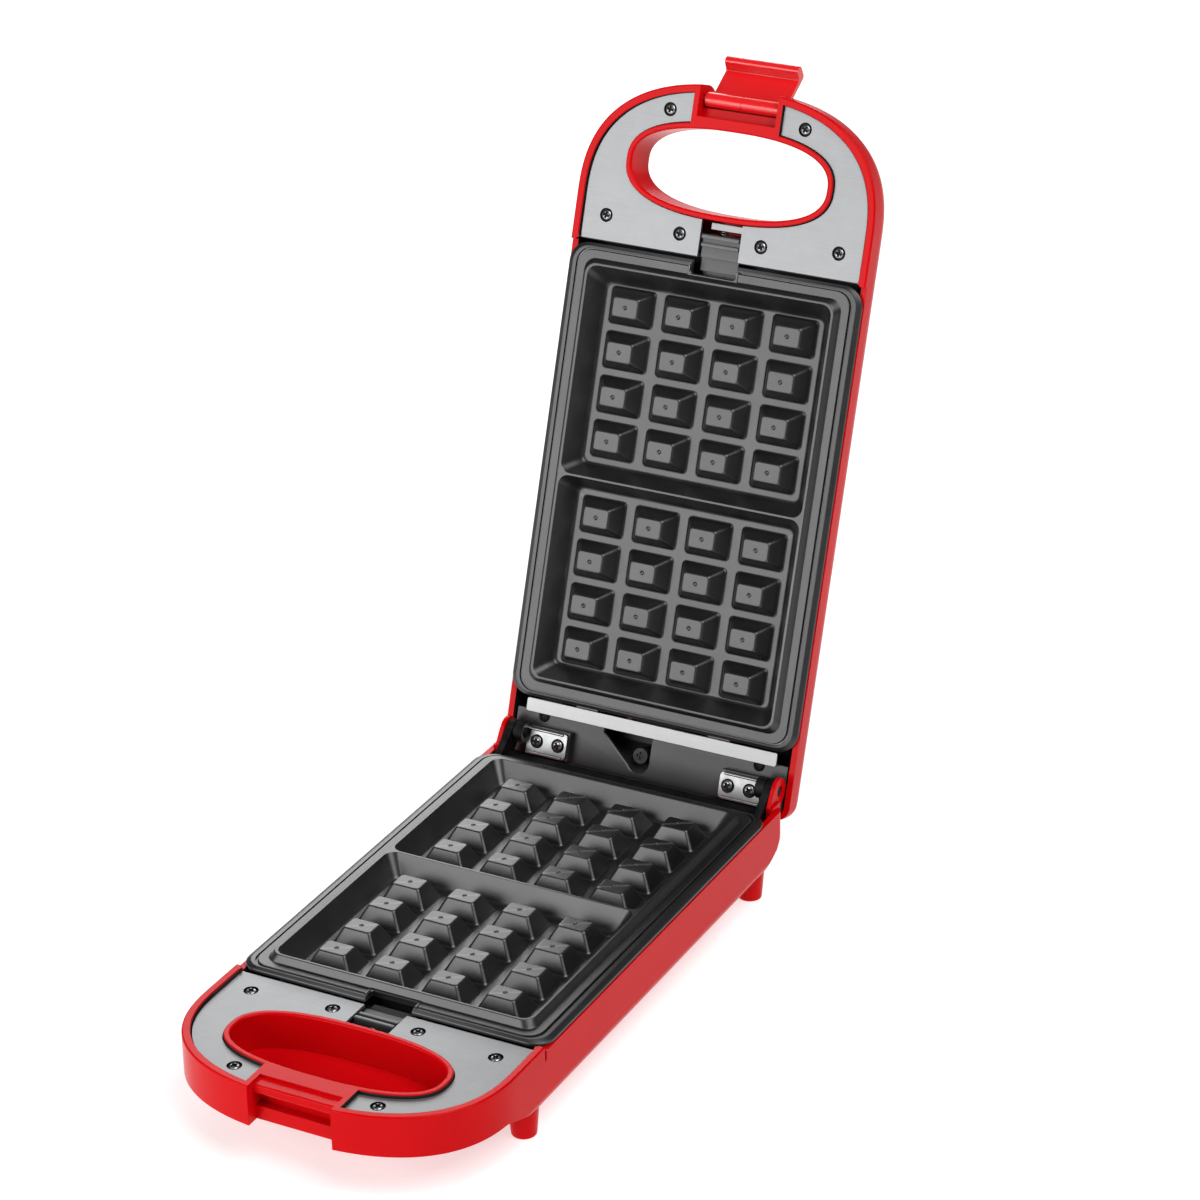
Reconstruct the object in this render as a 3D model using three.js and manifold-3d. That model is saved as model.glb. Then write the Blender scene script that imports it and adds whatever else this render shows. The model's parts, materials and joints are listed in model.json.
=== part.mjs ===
// Waffle maker with two clamshell halves on one rear hinge, modelled standing open.
// Each half is drawn in its own half frame: x across, y from the hinge axis towards the handle,
// z along the normal of the mating plane, negative into that half. Units are millimetres.
import * as THREE from 'three';
import { mergeVertices } from 'three/addons/utils/BufferGeometryUtils.js';
import Module from 'manifold-3d';

const wasm = await Module();
wasm.setup();

// ---------------------------------------------------------------- driving dimensions
const LID_ANGLE = THREE.MathUtils.degToRad(70.85); // lid plane above the horizontal, open
const LATCH_SWING = THREE.MathUtils.degToRad(131); // from clipped to fully open

const HALF_WIDTH = 65.3; // outside of the side walls
const RIM = -3.5; // top of the red rim
const WALL = 2.5; // moulded wall
const GAP = 0.3; // clearance between neighbours
const FLOOR_Z = -39; // what the feet stand on
const SEAT = { top: -5.7, end: 203.3, slotDepth: -9.5, slotWidth: 1.3 }; // lowered wall under the plate

const FRONT_Y = 222; // where the rounded front starts
const FRONT_DEPTH = 51; // from there to the tip of the handle
const ROUNDNESS = 2.5; // exponent of the rounded outlines
const REAR_CORNER = 5;

const HOLE = { y: 238.5, a: 43, b: 16.6, wall: 2.4 }; // handle hole and its rim
const HOLE_FLOOR = { top: -18.4, under: -20 }; // the base's handle hole is closed below
const RIB_Y = 204; // rib between the hot zone and the handle
const RIB_THICK = 1.6;
const TRIM = { top: -5, thick: 1.2, front: 19.8, slot: 9, rear: 204.4 };
const RECESS = { half: 17.2, wall: 2.2 }; // notch in the tip for the latch
const BOSS_TOP = -6.5;
const TRIM_SCREWS = [[29.7, 260.5], [51.5, 214.7], [18, 212.1]];

const PITCH = { x: 24, y: 18.26 }; // waffle grid
const ROWS = 4;
const COLUMNS = 4;
const FIRST_ROWS = [38.2, 124.4]; // first row of each waffle
const PEG = { baseX: 19.8, baseY: 15.2, topX: 11.3, topY: 7.8, top: -1.86 };
const PLATE = { top: -0.15, flange: -2.85, flangeUnder: -5.4, floor: -9, under: -12 };
const DIVIDER_Y = 108.65;

const LATCH = { y: 266.5, z: -9.5, radius: 3, half: 16.2, reach: 22.7, lip: 18.3, hook: -2.6 };
const HINGE = { pin: 1.9, bore: 2.25, knuckle: 4.5 };

const HALVES = {
  base: {
    side: -1, // the base frame is turned half a turn, so its x runs the other way
    rear: 1.6,
    levels: [[RIM, 0], [-23.5, 0], [-26.6, 1], [-28.7, 3], [-29.5, 6]],
    rearSlope: [[1.6, -13], [8.5, -21.5], [19, -26.5], [27, -29.5]],
    underHandle: [[203, -29.5], [231, -20]],
  },
  lid: {
    side: 1,
    rear: -12.8,
    levels: [[RIM, 0], [-11, 0], [-14.5, 0.7], [-18, 2.7], [-21, 6.5], [-22, 10]],
    rearSlope: [[-12.8, -8], [-5, -15.8], [2, -22]],
    underHandle: [[200, -22], [210, -20]],
  },
};

const FINISH = {
  red: { color: 0xc4121c, roughness: 0.28, metalness: 0 },
  nonStick: { color: 0x3a3a3c, roughness: 0.5, metalness: 0.1 },
  black: { color: 0x1d1d1f, roughness: 0.45, metalness: 0 },
  trim: { color: 0xc6c8ca, roughness: 0.38, metalness: 0.9 },
  steel: { color: 0xb4b6b8, roughness: 0.3, metalness: 1 },
  aluminium: { color: 0xd6d7d8, roughness: 0.35, metalness: 1 },
  ceramic: { color: 0xe9e4d8, roughness: 0.6, metalness: 0 },
  sleeve: { color: 0xd8d2c2, roughness: 0.8, metalness: 0 },
  redLens: { color: 0xd02018, roughness: 0.1, metalness: 0 },
  greenLens: { color: 0x1f9a3c, roughness: 0.1, metalness: 0 },
};

// ---------------------------------------------------------------- solids
function solid(geometry) {
  const bare = geometry.clone();
  bare.deleteAttribute('normal');
  bare.deleteAttribute('uv');
  const merged = mergeVertices(bare, 1e-4);
  return new wasm.Manifold(new wasm.Mesh({
    numProp: 3,
    vertProperties: new Float32Array(merged.attributes.position.array),
    triVerts: new Uint32Array(merged.index.array),
  }));
}

function geometryOf(body) {
  const mesh = body.getMesh();
  const geometry = new THREE.BufferGeometry();
  geometry.setAttribute('position', new THREE.BufferAttribute(mesh.vertProperties, 3));
  geometry.setIndex(new THREE.BufferAttribute(mesh.triVerts, 1));
  geometry.computeVertexNormals();
  return geometry;
}

const join = (...bodies) => bodies.reduce((whole, body) => whole.add(body));
const cut = (whole, ...tools) => tools.reduce((rest, tool) => rest.subtract(tool), whole);

function box(x0, x1, y0, y1, z0, z1) {
  const geometry = new THREE.BoxGeometry(x1 - x0, y1 - y0, z1 - z0);
  return solid(geometry.translate((x0 + x1) / 2, (y0 + y1) / 2, (z0 + z1) / 2));
}

// a round bar along one axis, through a point given by its other two coordinates
function bar(axis, radius, from, to, u, v, sides = 16, endRadius = radius) {
  const geometry = new THREE.CylinderGeometry(endRadius, radius, to - from, sides);
  const middle = (from + to) / 2;
  if (axis === 'x') geometry.rotateZ(-Math.PI / 2).translate(middle, u, v);
  if (axis === 'y') geometry.translate(u, middle, v);
  if (axis === 'z') geometry.rotateX(Math.PI / 2).translate(u, v, middle);
  return solid(geometry);
}

// a flat outline in x and y, raised from z0 to z1
function prism(points, z0, z1) {
  const shape = new THREE.Shape(points);
  const geometry = new THREE.ExtrudeGeometry(shape, { depth: z1 - z0, bevelEnabled: false });
  return solid(geometry.translate(0, 0, z0));
}

// an outline in y and z, carried across from x0 to x1
function acrossX(points, x0, x1) {
  const shape = new THREE.Shape(points.map(([y, z]) => new THREE.Vector2(y, z)));
  const geometry = new THREE.ExtrudeGeometry(shape, { depth: x1 - x0, bevelEnabled: false });
  const turn = new THREE.Matrix4().makeBasis(
    new THREE.Vector3(0, 1, 0), new THREE.Vector3(0, 0, 1), new THREE.Vector3(1, 0, 0));
  return solid(geometry.applyMatrix4(turn).translate(x0, 0, 0));
}

// a skin through outlines of equal length at rising heights, closed at both ends
function loft(levels) {
  const rising = [...levels].sort((one, other) => one.z - other.z);
  const count = rising[0].points.length;
  const position = [];
  const index = [];
  for (const { z, points } of rising) {
    for (const point of points) position.push(point.x, point.y, z);
  }
  for (let level = 0; level < rising.length - 1; level += 1) {
    for (let i = 0; i < count; i += 1) {
      const a = level * count + i;
      const b = level * count + ((i + 1) % count);
      index.push(a, b, b + count, a, b + count, a + count);
    }
  }
  const top = (rising.length - 1) * count;
  for (const [a, b, c] of THREE.ShapeUtils.triangulateShape(rising[0].points, [])) {
    index.push(a, c, b);
  }
  for (const [a, b, c] of THREE.ShapeUtils.triangulateShape(rising.at(-1).points, [])) {
    index.push(top + a, top + b, top + c);
  }
  const geometry = new THREE.BufferGeometry();
  geometry.setAttribute('position', new THREE.Float32BufferAttribute(position, 3));
  geometry.setIndex(index);
  return solid(geometry);
}

// a tube on a smooth line through a list of points
function tube(points, radius, steps, sides = 8) {
  const path = new THREE.CatmullRomCurve3(points.map((p) => new THREE.Vector3(...p)), false, 'catmullrom');
  return tubeAlong(path, radius, steps, sides);
}

function tubeAlong(path, radius, steps, sides) {
  const section = new THREE.Shape(ellipse(radius, radius, 0, 0, sides));
  const geometry = new THREE.ExtrudeGeometry(section, { steps, extrudePath: path });
  return solid(geometry);
}

// ---------------------------------------------------------------- outlines
function ellipse(a, b, x, y, sides) {
  return Array.from({ length: sides }, (_, i) => {
    const t = (i / sides) * 2 * Math.PI;
    return new THREE.Vector2(x + a * Math.cos(t), y + b * Math.sin(t));
  });
}

// part of a rounded oval |x/a|^n + |y/b|^n = 1, centred on x = 0
function oval(a, b, y, from, to, steps) {
  const power = 2 / ROUNDNESS;
  return Array.from({ length: steps + 1 }, (_, i) => {
    const t = from + ((to - from) * i) / steps;
    const c = Math.cos(t);
    const s = Math.sin(t);
    return new THREE.Vector2(
      a * Math.sign(c) * Math.abs(c) ** power, y + b * Math.sign(s) * Math.abs(s) ** power);
  });
}

function arc(x, y, radius, from, to, steps) {
  return Array.from({ length: steps + 1 }, (_, i) => {
    const t = from + ((to - from) * i) / steps;
    return new THREE.Vector2(x + radius * Math.cos(t), y + radius * Math.sin(t));
  });
}

function roundedBox(x0, x1, y0, y1, radius, steps = 3) {
  const quarter = Math.PI / 2;
  return [
    ...arc(x1 - radius, y0 + radius, radius, -quarter, 0, steps),
    ...arc(x1 - radius, y1 - radius, radius, 0, quarter, steps),
    ...arc(x0 + radius, y1 - radius, radius, quarter, 2 * quarter, steps),
    ...arc(x0 + radius, y0 + radius, radius, 2 * quarter, 3 * quarter, steps),
  ];
}

function housingOutline(inset, rear) {
  const half = HALF_WIDTH - inset;
  const corner = Math.max(REAR_CORNER - inset, 0.6);
  const quarter = Math.PI / 2;
  const y = rear + inset + corner;
  return [
    ...arc(half - corner, y, corner, -quarter, 0, 2),
    ...oval(half, FRONT_DEPTH - inset, FRONT_Y, 0, Math.PI, 22),
    ...arc(-half + corner, y, corner, 2 * quarter, 3 * quarter, 2),
  ];
}

const fullOval = (a, b, y, steps) => oval(a, b, y, 0, 2 * Math.PI, steps).slice(0, -1);

// ---------------------------------------------------------------- housings
// the body inside the outline, moved in by a wall, with the slopes behind and under the handle
function housingBody(half, inset) {
  const levels = half.levels.map(([z, taper]) => {
    const height = z === RIM && inset > 0 ? 5 : z + (z === RIM ? 0 : inset);
    return { z: height, points: housingOutline(taper + inset, half.rear) };
  });
  const slope = half.rearSlope.map(([y, z]) => [y + inset * 0.7, z + inset * 0.7]);
  const behind = [...slope, [slope.at(-1)[0], -60], [-40, -60], [-40, slope[0][1]]];
  const [[y0, z0], [y1, z1]] = half.underHandle;
  const under = [[y0, z0 + inset], [y0, -60], [300, -60], [300, z1 + inset], [y1, z1 + inset]];
  return cut(loft(levels),
    acrossX(behind, -80, 80),
    acrossX(under, -80, 80));
}

function trimBosses() {
  return TRIM_SCREWS.flatMap(([x, y]) => [-x, x].map((px) => bar('z', 3.4, -60, BOSS_TOP, px, y, 8)));
}

function housingShell(half) {
  const recessOut = RECESS.half + RECESS.wall;
  const hotCavity = housingBody(half, WALL).intersect(box(-80, 80, -60, RIB_Y, -60, 10));
  const handleCavity = cut(
    housingBody(half, WALL + 0.6).intersect(box(-80, 80, RIB_Y + RIB_THICK, 300, -60, 10)),
    prism(fullOval(HOLE.a + HOLE.wall, HOLE.b + HOLE.wall, HOLE.y, 24), -60, 20),
    box(-recessOut, recessOut, 250, 300, -60, 20),
    ...trimBosses());
  const screwBores = TRIM_SCREWS.flatMap(([x, y]) =>
    [-x, x].map((px) => bar('z', 1.5, -14, 0, px, y, 6)));
  return cut(housingBody(half, 0),
    hotCavity,
    handleCavity,
    box(-80, 80, -60, SEAT.end, SEAT.top, 5),
    box(-62, 62, RIB_Y - 1, RIB_Y + RIB_THICK + 1, BOSS_TOP, 5),
    box(-9.2, 9.2, RIB_Y - 1, RIB_Y + RIB_THICK + 1, -12.5, 5),
    prism(fullOval(HOLE.a, HOLE.b, HOLE.y, 24), -60, 20),
    ...screwBores);
}

function footOfBase(x, y) {
  return bar('z', 4.8, FLOOR_Z, -21.5, x, y, 12, 6.2);
}

// red ear that carries the outer end of a hinge pin, joined to the side wall ahead of the axis
function baseEar(sign) {
  const inner = 60.6 * sign;
  const outer = 62.4 * sign;
  const wall = 63.5 * sign;
  const [x0, x1] = [Math.min(inner, outer), Math.max(inner, outer)];
  const [w0, w1] = [Math.min(inner, wall), Math.max(inner, wall)];
  return cut(
    join(
      bar('x', 5.5, x0, x1, 0, 0, 16),
      acrossX([[-4.6, -3], [1.6, -8.5], [1.6, -16], [9, -16], [9, -3.5], [4.8, 2.6]], x0, x1),
      acrossX([[1.8, -16], [9, -16], [9, RIM], [1.8, RIM]], w0, w1)),
    bar('x', HINGE.bore, x0 - 1, x1 + 1, 0, 0, 12));
}

function baseHousing() {
  const half = HALVES.base;
  const catchBar = acrossX([[262, -8.4], [267.4, -8.4], [268.4, -7.6], [268.4, -5.8], [267.4, -4.8],
    [262, -4.8]], -18, 18);
  const lowerLedge = acrossX([[262, -20], [266.8, -20], [266.8, -15], [266.3, -14.5], [262, -14.5]],
    -18, 18);
  const armBosses = [-53, 53].map((x) =>
    bar('z', 3.2, -40, -13.5, x, 10.5, 8).intersect(housingBody(half, 1)));
  const rimSlots = [[-70, -61], [61, 70]].map(([left, right]) =>
    box(left, right, SEAT.end - SEAT.slotWidth, SEAT.end, SEAT.slotDepth, 5));
  const shell = cut(housingShell(half),
    ...rimSlots,
    box(-RECESS.half, RECESS.half, 263, 280, -60, 5),
    box(-60.5, 60.5, -5, 4.4, -10.2, 5),
    box(-8, 8, -5, 4.3, -12.5, 5));
  const holeFloor = prism(fullOval(HOLE.a + 1, HOLE.b + 1, HOLE.y, 24), HOLE_FLOOR.under,
    HOLE_FLOOR.top);
  const feet = [19.4, 208].flatMap((y) => [-58.5, 58.5].map((x) => footOfBase(x, y)));
  return cut(join(shell, holeFloor, catchBar, lowerLedge, baseEar(-1), baseEar(1), ...feet, ...armBosses),
    bar('x', HINGE.bore, -62.4, -60.6, 0, 0, 12),
    bar('x', HINGE.bore, 60.6, 62.4, 0, 0, 12),
    bar('y', 4.3, -4, 24, 0, -19.5, 16),
    ...[-53, 53].map((x) => bar('z', 1.4, -20, -10, x, 10.5, 8)));
}

function lidHousing() {
  const half = HALVES.lid;
  const panelBosses = [[-49, 7], [49, 7], [-4.4, -0.6]].map(([x, y]) =>
    bar('z', 3.2, -30, -8.9, x, y, 8).intersect(housingBody(half, 1)));
  const shell = cut(housingShell(half),
    box(-RECESS.half, RECESS.half, 263, 280, -60, 5),
    box(-RECESS.half, RECESS.half, 259.5, 264, -9, 5),
    bar('x', 1.55, -20, 20, LATCH.y, LATCH.z, 12),
    ...[-1, 1].map((sign) => bar('z', 3.6, -30, -10, 32 * sign, 211.5, 16)));
  // step behind the barrel, clear of the latch when it swings right back
  const ledge = acrossX([[262, -20], [265, -20], [265, -15.2], [264.6, -14.7], [262, -14.7]], -18, 18);
  return cut(join(shell, ledge, ...panelBosses),
    ...[[-49, 7], [49, 7]].map(([x, y]) => bar('z', 1.4, -14, 0, x, y, 8)));
}

// ---------------------------------------------------------------- pieces of both halves
function trimPlate(sign, tongue) {
  const under = TRIM.top - TRIM.thick;
  const outline = [
    new THREE.Vector2(-61.8, TRIM.rear),
    new THREE.Vector2(61.8, TRIM.rear),
    ...oval(61.8, 47.8, FRONT_Y, 0, Math.PI, 22),
  ];
  const inside = sign > 0 ? [-80, TRIM.slot] : [-TRIM.slot, 80];
  const atTip = sign > 0 ? [-80, TRIM.front] : [-TRIM.front, 80];
  const screwHoles = TRIM_SCREWS.flatMap(([x, y]) => [
    bar('z', 1.5, under - 1, TRIM.top + 1, x * sign, y, 6),
    bar('z', 2.85, TRIM.top - 0.7, TRIM.top + 1, x * sign, y, 12)]);
  const plate = cut(prism(outline, under, TRIM.top),
    prism(fullOval(HOLE.a + HOLE.wall + GAP, HOLE.b + HOLE.wall + GAP, HOLE.y, 24), -20, 5),
    box(inside[0], inside[1], 190, HOLE.y, -20, 5),
    box(atTip[0], atTip[1], HOLE.y, 300, -20, 5),
    ...screwHoles);
  if (!tongue) return plate;
  return join(plate, box(-4.5, TRIM.slot + 0.5, 216, 218.6, under, TRIM.top));
}

// pan head with a cross recess, its underside on z
function screw(x, y, z, shank, radius = 2, height = 0.9) {
  const head = cut(bar('z', radius, z, z + height, x, y, 10, radius * 0.8),
    box(x - 0.3, x + 0.3, y - 1.1, y + 1.1, z + height - 0.5, z + 2),
    box(x - 1.1, x + 1.1, y - 0.3, y + 0.3, z + height - 0.5, z + 2));
  return join(head, bar('z', 1.1, z - shank, z + 0.2, x, y, 6));
}

function peg(x, y) {
  const level = (width, length, z) => ({
    z, points: roundedBox(x - width / 2, x + width / 2, y - length / 2, y + length / 2, 1, 1),
  });
  return loft([level(PEG.baseX, PEG.baseY, PLATE.floor - 1), level(PEG.baseX, PEG.baseY, PLATE.floor),
    level(PEG.topX, PEG.topY, PEG.top)]);
}

function wafflePlate() {
  const ring = (half, y0, y1, radius, z) => ({ z, points: roundedBox(-half, half, y0, y1, radius) });
  const flange = loft([ring(64.9, 14.8, 202.8, 8, PLATE.flangeUnder), ring(64.9, 14.8, 202.8, 8, -4),
    ring(63.3, 15.7, 201.9, 6.8, -3.1), ring(60.4, 17.4, 200.1, 6, PLATE.flange)]);
  const lip = loft([ring(56.9, 21.4, 196.9, 5, PLATE.flangeUnder),
    ring(56.9, 21.4, 196.9, 5, PLATE.flange), ring(54.9, 23.3, 195.1, 4.6, PLATE.top)]);
  const tray = loft([ring(54.5, 23.6, 194.6, 5, PLATE.under),
    ring(56.6, 21.7, 196.6, 5, PLATE.flangeUnder)]);
  const pockets = [[24.1, DIVIDER_Y - 0.45, 29.5, DIVIDER_Y - 5],
    [DIVIDER_Y + 0.45, 194.3, DIVIDER_Y + 5, 188]].map(([top0, top1, floor0, floor1]) => {
    const rise = -PLATE.floor;
    const over = (5 * (54 - 48.8)) / rise;
    return loft([ring(48.8, floor0, floor1, 3, PLATE.floor), ring(54, top0, top1, 4.2, 0),
      ring(54 + over, top0 - over, top1 + over, 4.2 + over, 5)]);
  });
  const clipNotch = box(-10, 10, 197.4, 210, -20, 5);
  const rearTabs = [-30, 30].map((x) => box(x - 5, x + 5, 11.5, 23, -7.9, -6.4));
  const clipTab = box(-8, 8, 194, 200.6, -11.6, -10.1);
  const body = cut(join(flange, lip, tray), clipNotch, ...pockets);
  const pegs = FIRST_ROWS.flatMap((first) =>
    Array.from({ length: ROWS * COLUMNS }, (_, i) => peg(
      ((i % COLUMNS) - (COLUMNS - 1) / 2) * PITCH.x, first + Math.floor(i / COLUMNS) * PITCH.y)));
  return join(body, clipTab, ...rearTabs, ...pegs);
}

// strip across the rear of a half that the plate's rear tabs slide under
function plateRetainer() {
  return box(-56.9, 56.9, 8.2, 13.8, -6, -5.2);
}

function reflectorTray() {
  const outside = prism(roundedBox(-53, 53, 25, 193, 6), -18.9, -13);
  return cut(outside, prism(roundedBox(-52.4, 52.4, 25.6, 192.4, 5.4), -18.3, 0),
    box(-16, 16, 20, 30, -18.2, 0));
}

function heatingElement() {
  return tube([[-12, 22.5, -15.4], [-12, 40, -15.4], [-26, 50, -15.4], [-41, 58, -15.4],
    [-42, 110, -15.4], [-40, 165, -15.4], [-22, 182, -15.4], [22, 182, -15.4], [40, 165, -15.4],
    [42, 110, -15.4], [41, 58, -15.4], [26, 50, -15.4], [12, 40, -15.4], [12, 22.5, -15.4]], 2.5, 42, 6);
}

// catch with a ridged thumb end that holds the front of the plate
function releaseCatch() {
  return join(
    box(-8.3, 8.3, 204.3, 213.6, -9.6, -6.6),
    box(-8.3, 8.3, 211.9, 213.6, -7, -5),
    box(-8.3, 8.3, 208.6, 210.2, -7, -5.4),
    box(-8.3, 8.3, 198.8, 204.6, -9.6, -8),
    box(-2.5, 2.5, 206, 212, -11.4, -9.4));
}

function catchGuide() {
  return cut(box(-11, 11, 206.2, 213.9, -14.5, -10),
    box(-2.9, 2.9, 200, 220, -11.8, -5),
    box(-8, 8, 200, 220, -13, -12.3));
}

function catchSpring() {
  class Coil extends THREE.Curve {
    getPoint(t, target = new THREE.Vector3()) {
      const turn = t * 4 * 2 * Math.PI;
      return target.set(1.5 * Math.cos(turn), 213.95 + 4.9 * t, -8.6 + 1.5 * Math.sin(turn));
    }
  }
  return tubeAlong(new Coil(), 0.25, 36, 4);
}

// ---------------------------------------------------------------- hinge
function hingePanel() {
  const pads = [-1, 1].map((sign) => box(Math.min(34.5 * sign, 52.6 * sign),
    Math.max(34.5 * sign, 52.6 * sign), -8.9, 3, -7.2, -3.5));
  const opening = [...arc(-4.4, -2.6, 5, -2.6, 0.1, 8), new THREE.Vector2(0.6, 20),
    new THREE.Vector2(-21, 20), new THREE.Vector2(-21, 6)];
  const screwHoles = [[-49, 7], [49, 7]].map(([x, y]) => bar('z', 1.4, -12, 0, x, y, 8));
  const leafHoles = [-1, 1].flatMap((sign) => [38.8, 48.5].map((x) =>
    bar('z', 1.4, -12, 0, x * sign, -3, 8)));
  const sheet = acrossX([[-9.8, -7], [-8.2, -8.6], [8.9, -8.6], [8.9, -7]], -61.6, 61.6);
  return cut(join(sheet, ...pads),
    prism(opening, -20, 0), ...screwHoles, ...leafHoles);
}

// steel leaf on the lid with a knuckle round the pin at its outer end
function lidLeaf(sign) {
  const span = (a, b) => [Math.min(a * sign, b * sign), Math.max(a * sign, b * sign)];
  const [x0, x1] = span(34.8, 53.2);
  const [k0, k1] = span(53, 57);
  return cut(
    join(box(x0, x1, -8.5, 2.5, -3.2, -2), box(x0, x1, -8.5, -7.7, -3.2, -1.3),
      box(x0, x1, 1.9, 2.5, -3.2, -1.3), bar('x', HINGE.knuckle, k0, k1, 0, 0, 16)),
    bar('x', HINGE.bore, k0 - 2, k1 + 1, 0, 0, 12),
    ...[38.8, 48.5].map((x) => bar('z', 1.4, -12, 0, x * sign, -3, 8)));
}

// steel arm fixed in the base that carries the pin between the knuckle and the ear
function baseArm(sign) {
  const span = (a, b) => [Math.min(a * sign, b * sign), Math.max(a * sign, b * sign)];
  const [x0, x1] = span(57.3, 60.3);
  const [f0, f1] = span(50, 60.3);
  return cut(
    join(bar('x', HINGE.knuckle, x0, x1, 0, 0, 16),
      acrossX([[-2.9, -3.4], [4.6, -9.9], [6.4, -13.2], [14.5, -13.2], [14.5, -5.5], [3.6, 2.7]], x0, x1),
      box(f0, f1, 6.4, 14.5, -13.2, -12)),
    bar('x', HINGE.bore, x0 - 1, x1 + 1, 0, 0, 12),
    bar('z', 1.4, -16, 0, 53 * sign, 10.5, 8));
}

// ---------------------------------------------------------------- latch
// drawn clipped: z up the plate towards the pivot, y outwards from the pivot, then turned open
function latchBody() {
  const { radius, half, reach, lip, hook } = LATCH;
  const profile = [[2.4, 0], [2.4, -lip], [hook + 0.8, -lip - 0.7], [hook, -lip - 1.8],
    [hook + 0.3, -reach + 0.8], [hook + 1.3, -reach], [3.8, -reach], [4.6, -reach + 1], [4.6, 0]];
  return cut(
    join(acrossX(profile, -half, half), bar('x', radius, -half, half, 0, 0, 16),
      box(-half, half, 0.5, 4.6, -2, 0)),
    bar('x', 1.55, -half - 1, half + 1, 0, 0, 12));
}

// ---------------------------------------------------------------- assembly
const waffleMaker = new THREE.Group();

function addTo(parent, name, body, finish) {
  const mesh = new THREE.Mesh(geometryOf(body),
    new THREE.MeshStandardMaterial({ ...finish, flatShading: true }));
  mesh.name = name;
  parent.add(mesh);
  return mesh;
}

function buildCommonPieces(frame, name, half) {
  for (const [label, worldSign] of [['left', -1], ['right', 1]]) {
    const sign = worldSign * half.side;
    addTo(frame, `${name}_trim_${label}`, trimPlate(sign, name === 'lid' && worldSign > 0), FINISH.trim);
    TRIM_SCREWS.forEach(([x, y], i) => {
      const seat = TRIM.top - 0.68;
      addTo(frame, `${name}_trim_screw_${label}_${i + 1}`, screw(x * sign, y, seat, 6), FINISH.steel);
    });
  }
  addTo(frame, `${name}_plate`, wafflePlate(), FINISH.nonStick);
  addTo(frame, `${name}_plate_retainer`, plateRetainer(), FINISH.aluminium);
  addTo(frame, `${name}_reflector`, reflectorTray(), FINISH.aluminium);
  addTo(frame, `${name}_heating_element`, heatingElement(), FINISH.steel);
  addTo(frame, `${name}_release_catch`, releaseCatch(), FINISH.black);
  addTo(frame, `${name}_catch_guide`, catchGuide(), FINISH.black);
  addTo(frame, `${name}_catch_spring`, catchSpring(), FINISH.steel);
}

function buildBase() {
  const frame = new THREE.Group();
  frame.rotation.z = Math.PI;
  addTo(frame, 'base_housing', baseHousing(), FINISH.red);
  buildCommonPieces(frame, 'base', HALVES.base);
  for (const [label, worldSign] of [['left', -1], ['right', 1]]) {
    const sign = worldSign * HALVES.base.side;
    const pinEnds = [52.2 * sign, 62.2 * sign].sort((a, b) => a - b);
    addTo(frame, `base_hinge_arm_${label}`, baseArm(sign), FINISH.steel);
    addTo(frame, `base_hinge_screw_${label}`, screw(53 * sign, 10.5, -11.98, 6), FINISH.steel);
    addTo(frame, `hinge_pin_${label}`, bar('x', HINGE.pin, ...pinEnds, 0, 0, 12), FINISH.steel);
  }
  const rearCover = cut(box(-46, 46, 4.7, 17.5, -12, -10.8), box(-9, 9, 0, 9, -15, 0));
  addTo(frame, 'base_rear_cover', rearCover, FINISH.black);
  addTo(frame, 'base_thermostat', bar('z', 8, -26.2, -19.3, 0, 105, 20), FINISH.steel);
  addTo(frame, 'base_thermal_fuse', bar('x', 2, -8, 8, 70, -21.8, 12), FINISH.steel);
  addTo(frame, 'base_terminal_block', box(14, 34, 30, 40, -26.4, -19.6), FINISH.ceramic);
  addTo(frame, 'base_harness', tube([[0, 26, -22.4], [2, 32, -22.8], [8, 35, -23], [13.4, 35, -23]],
    1.6, 12, 8), FINISH.sleeve);
  const gland = cut(bar('y', 4, 1.8, 20, 0, -19.5, 16), bar('y', 2.6, 0, 24, 0, -19.5, 12));
  addTo(frame, 'cord_gland', gland, FINISH.black);
  return frame;
}

function buildLatch() {
  const swing = new THREE.Group();
  swing.position.set(0, LATCH.y, LATCH.z);
  // clipped, the plate points to +z of the lid frame; opening turns it back by LATCH_SWING
  swing.rotation.x = -LATCH_SWING;
  const flipped = latchBody().mirror([0, 0, 1]);
  addTo(swing, 'latch', flipped, FINISH.red);
  return swing;
}

function buildLid() {
  const frame = new THREE.Group();
  frame.rotation.x = LID_ANGLE;
  addTo(frame, 'lid_housing', lidHousing(), FINISH.red);
  buildCommonPieces(frame, 'lid', HALVES.lid);
  addTo(frame, 'hinge_panel', hingePanel(), FINISH.black);
  for (const [label, sign] of [['left', -1], ['right', 1]]) {
    addTo(frame, `lid_hinge_leaf_${label}`, lidLeaf(sign), FINISH.steel);
    [38.8, 48.5].forEach((x, i) => {
      addTo(frame, `lid_hinge_screw_${label}_${i + 1}`, screw(x * sign, -3, -1.98, 6, 2.2), FINISH.steel);
    });
    addTo(frame, `panel_screw_${label}`, screw(49 * sign, 7, -6.98, 4.5, 2.4, 0.7), FINISH.steel);
  }
  addTo(frame, 'lid_thermostat', bar('z', 5, -14, -8.9, 18, 2.6, 16), FINISH.steel);
  addTo(frame, 'lid_harness', tube([[-13, 11, -12.6], [-12.6, 15, -13.6], [-12, 19, -14.6],
    [-12, 22.2, -15.4]], 1.3, 12, 8), FINISH.sleeve);
  addTo(frame, 'power_lamp', bar('z', 3.2, -21.2, -12, -32, 211.5, 16), FINISH.redLens);
  addTo(frame, 'ready_lamp', bar('z', 3.2, -21.2, -12, 32, 211.5, 16), FINISH.greenLens);
  addTo(frame, 'latch_pin', bar('x', 1.25, -19.1, 19.1, LATCH.y, LATCH.z, 12), FINISH.steel);
  frame.add(buildLatch());
  return frame;
}

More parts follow.
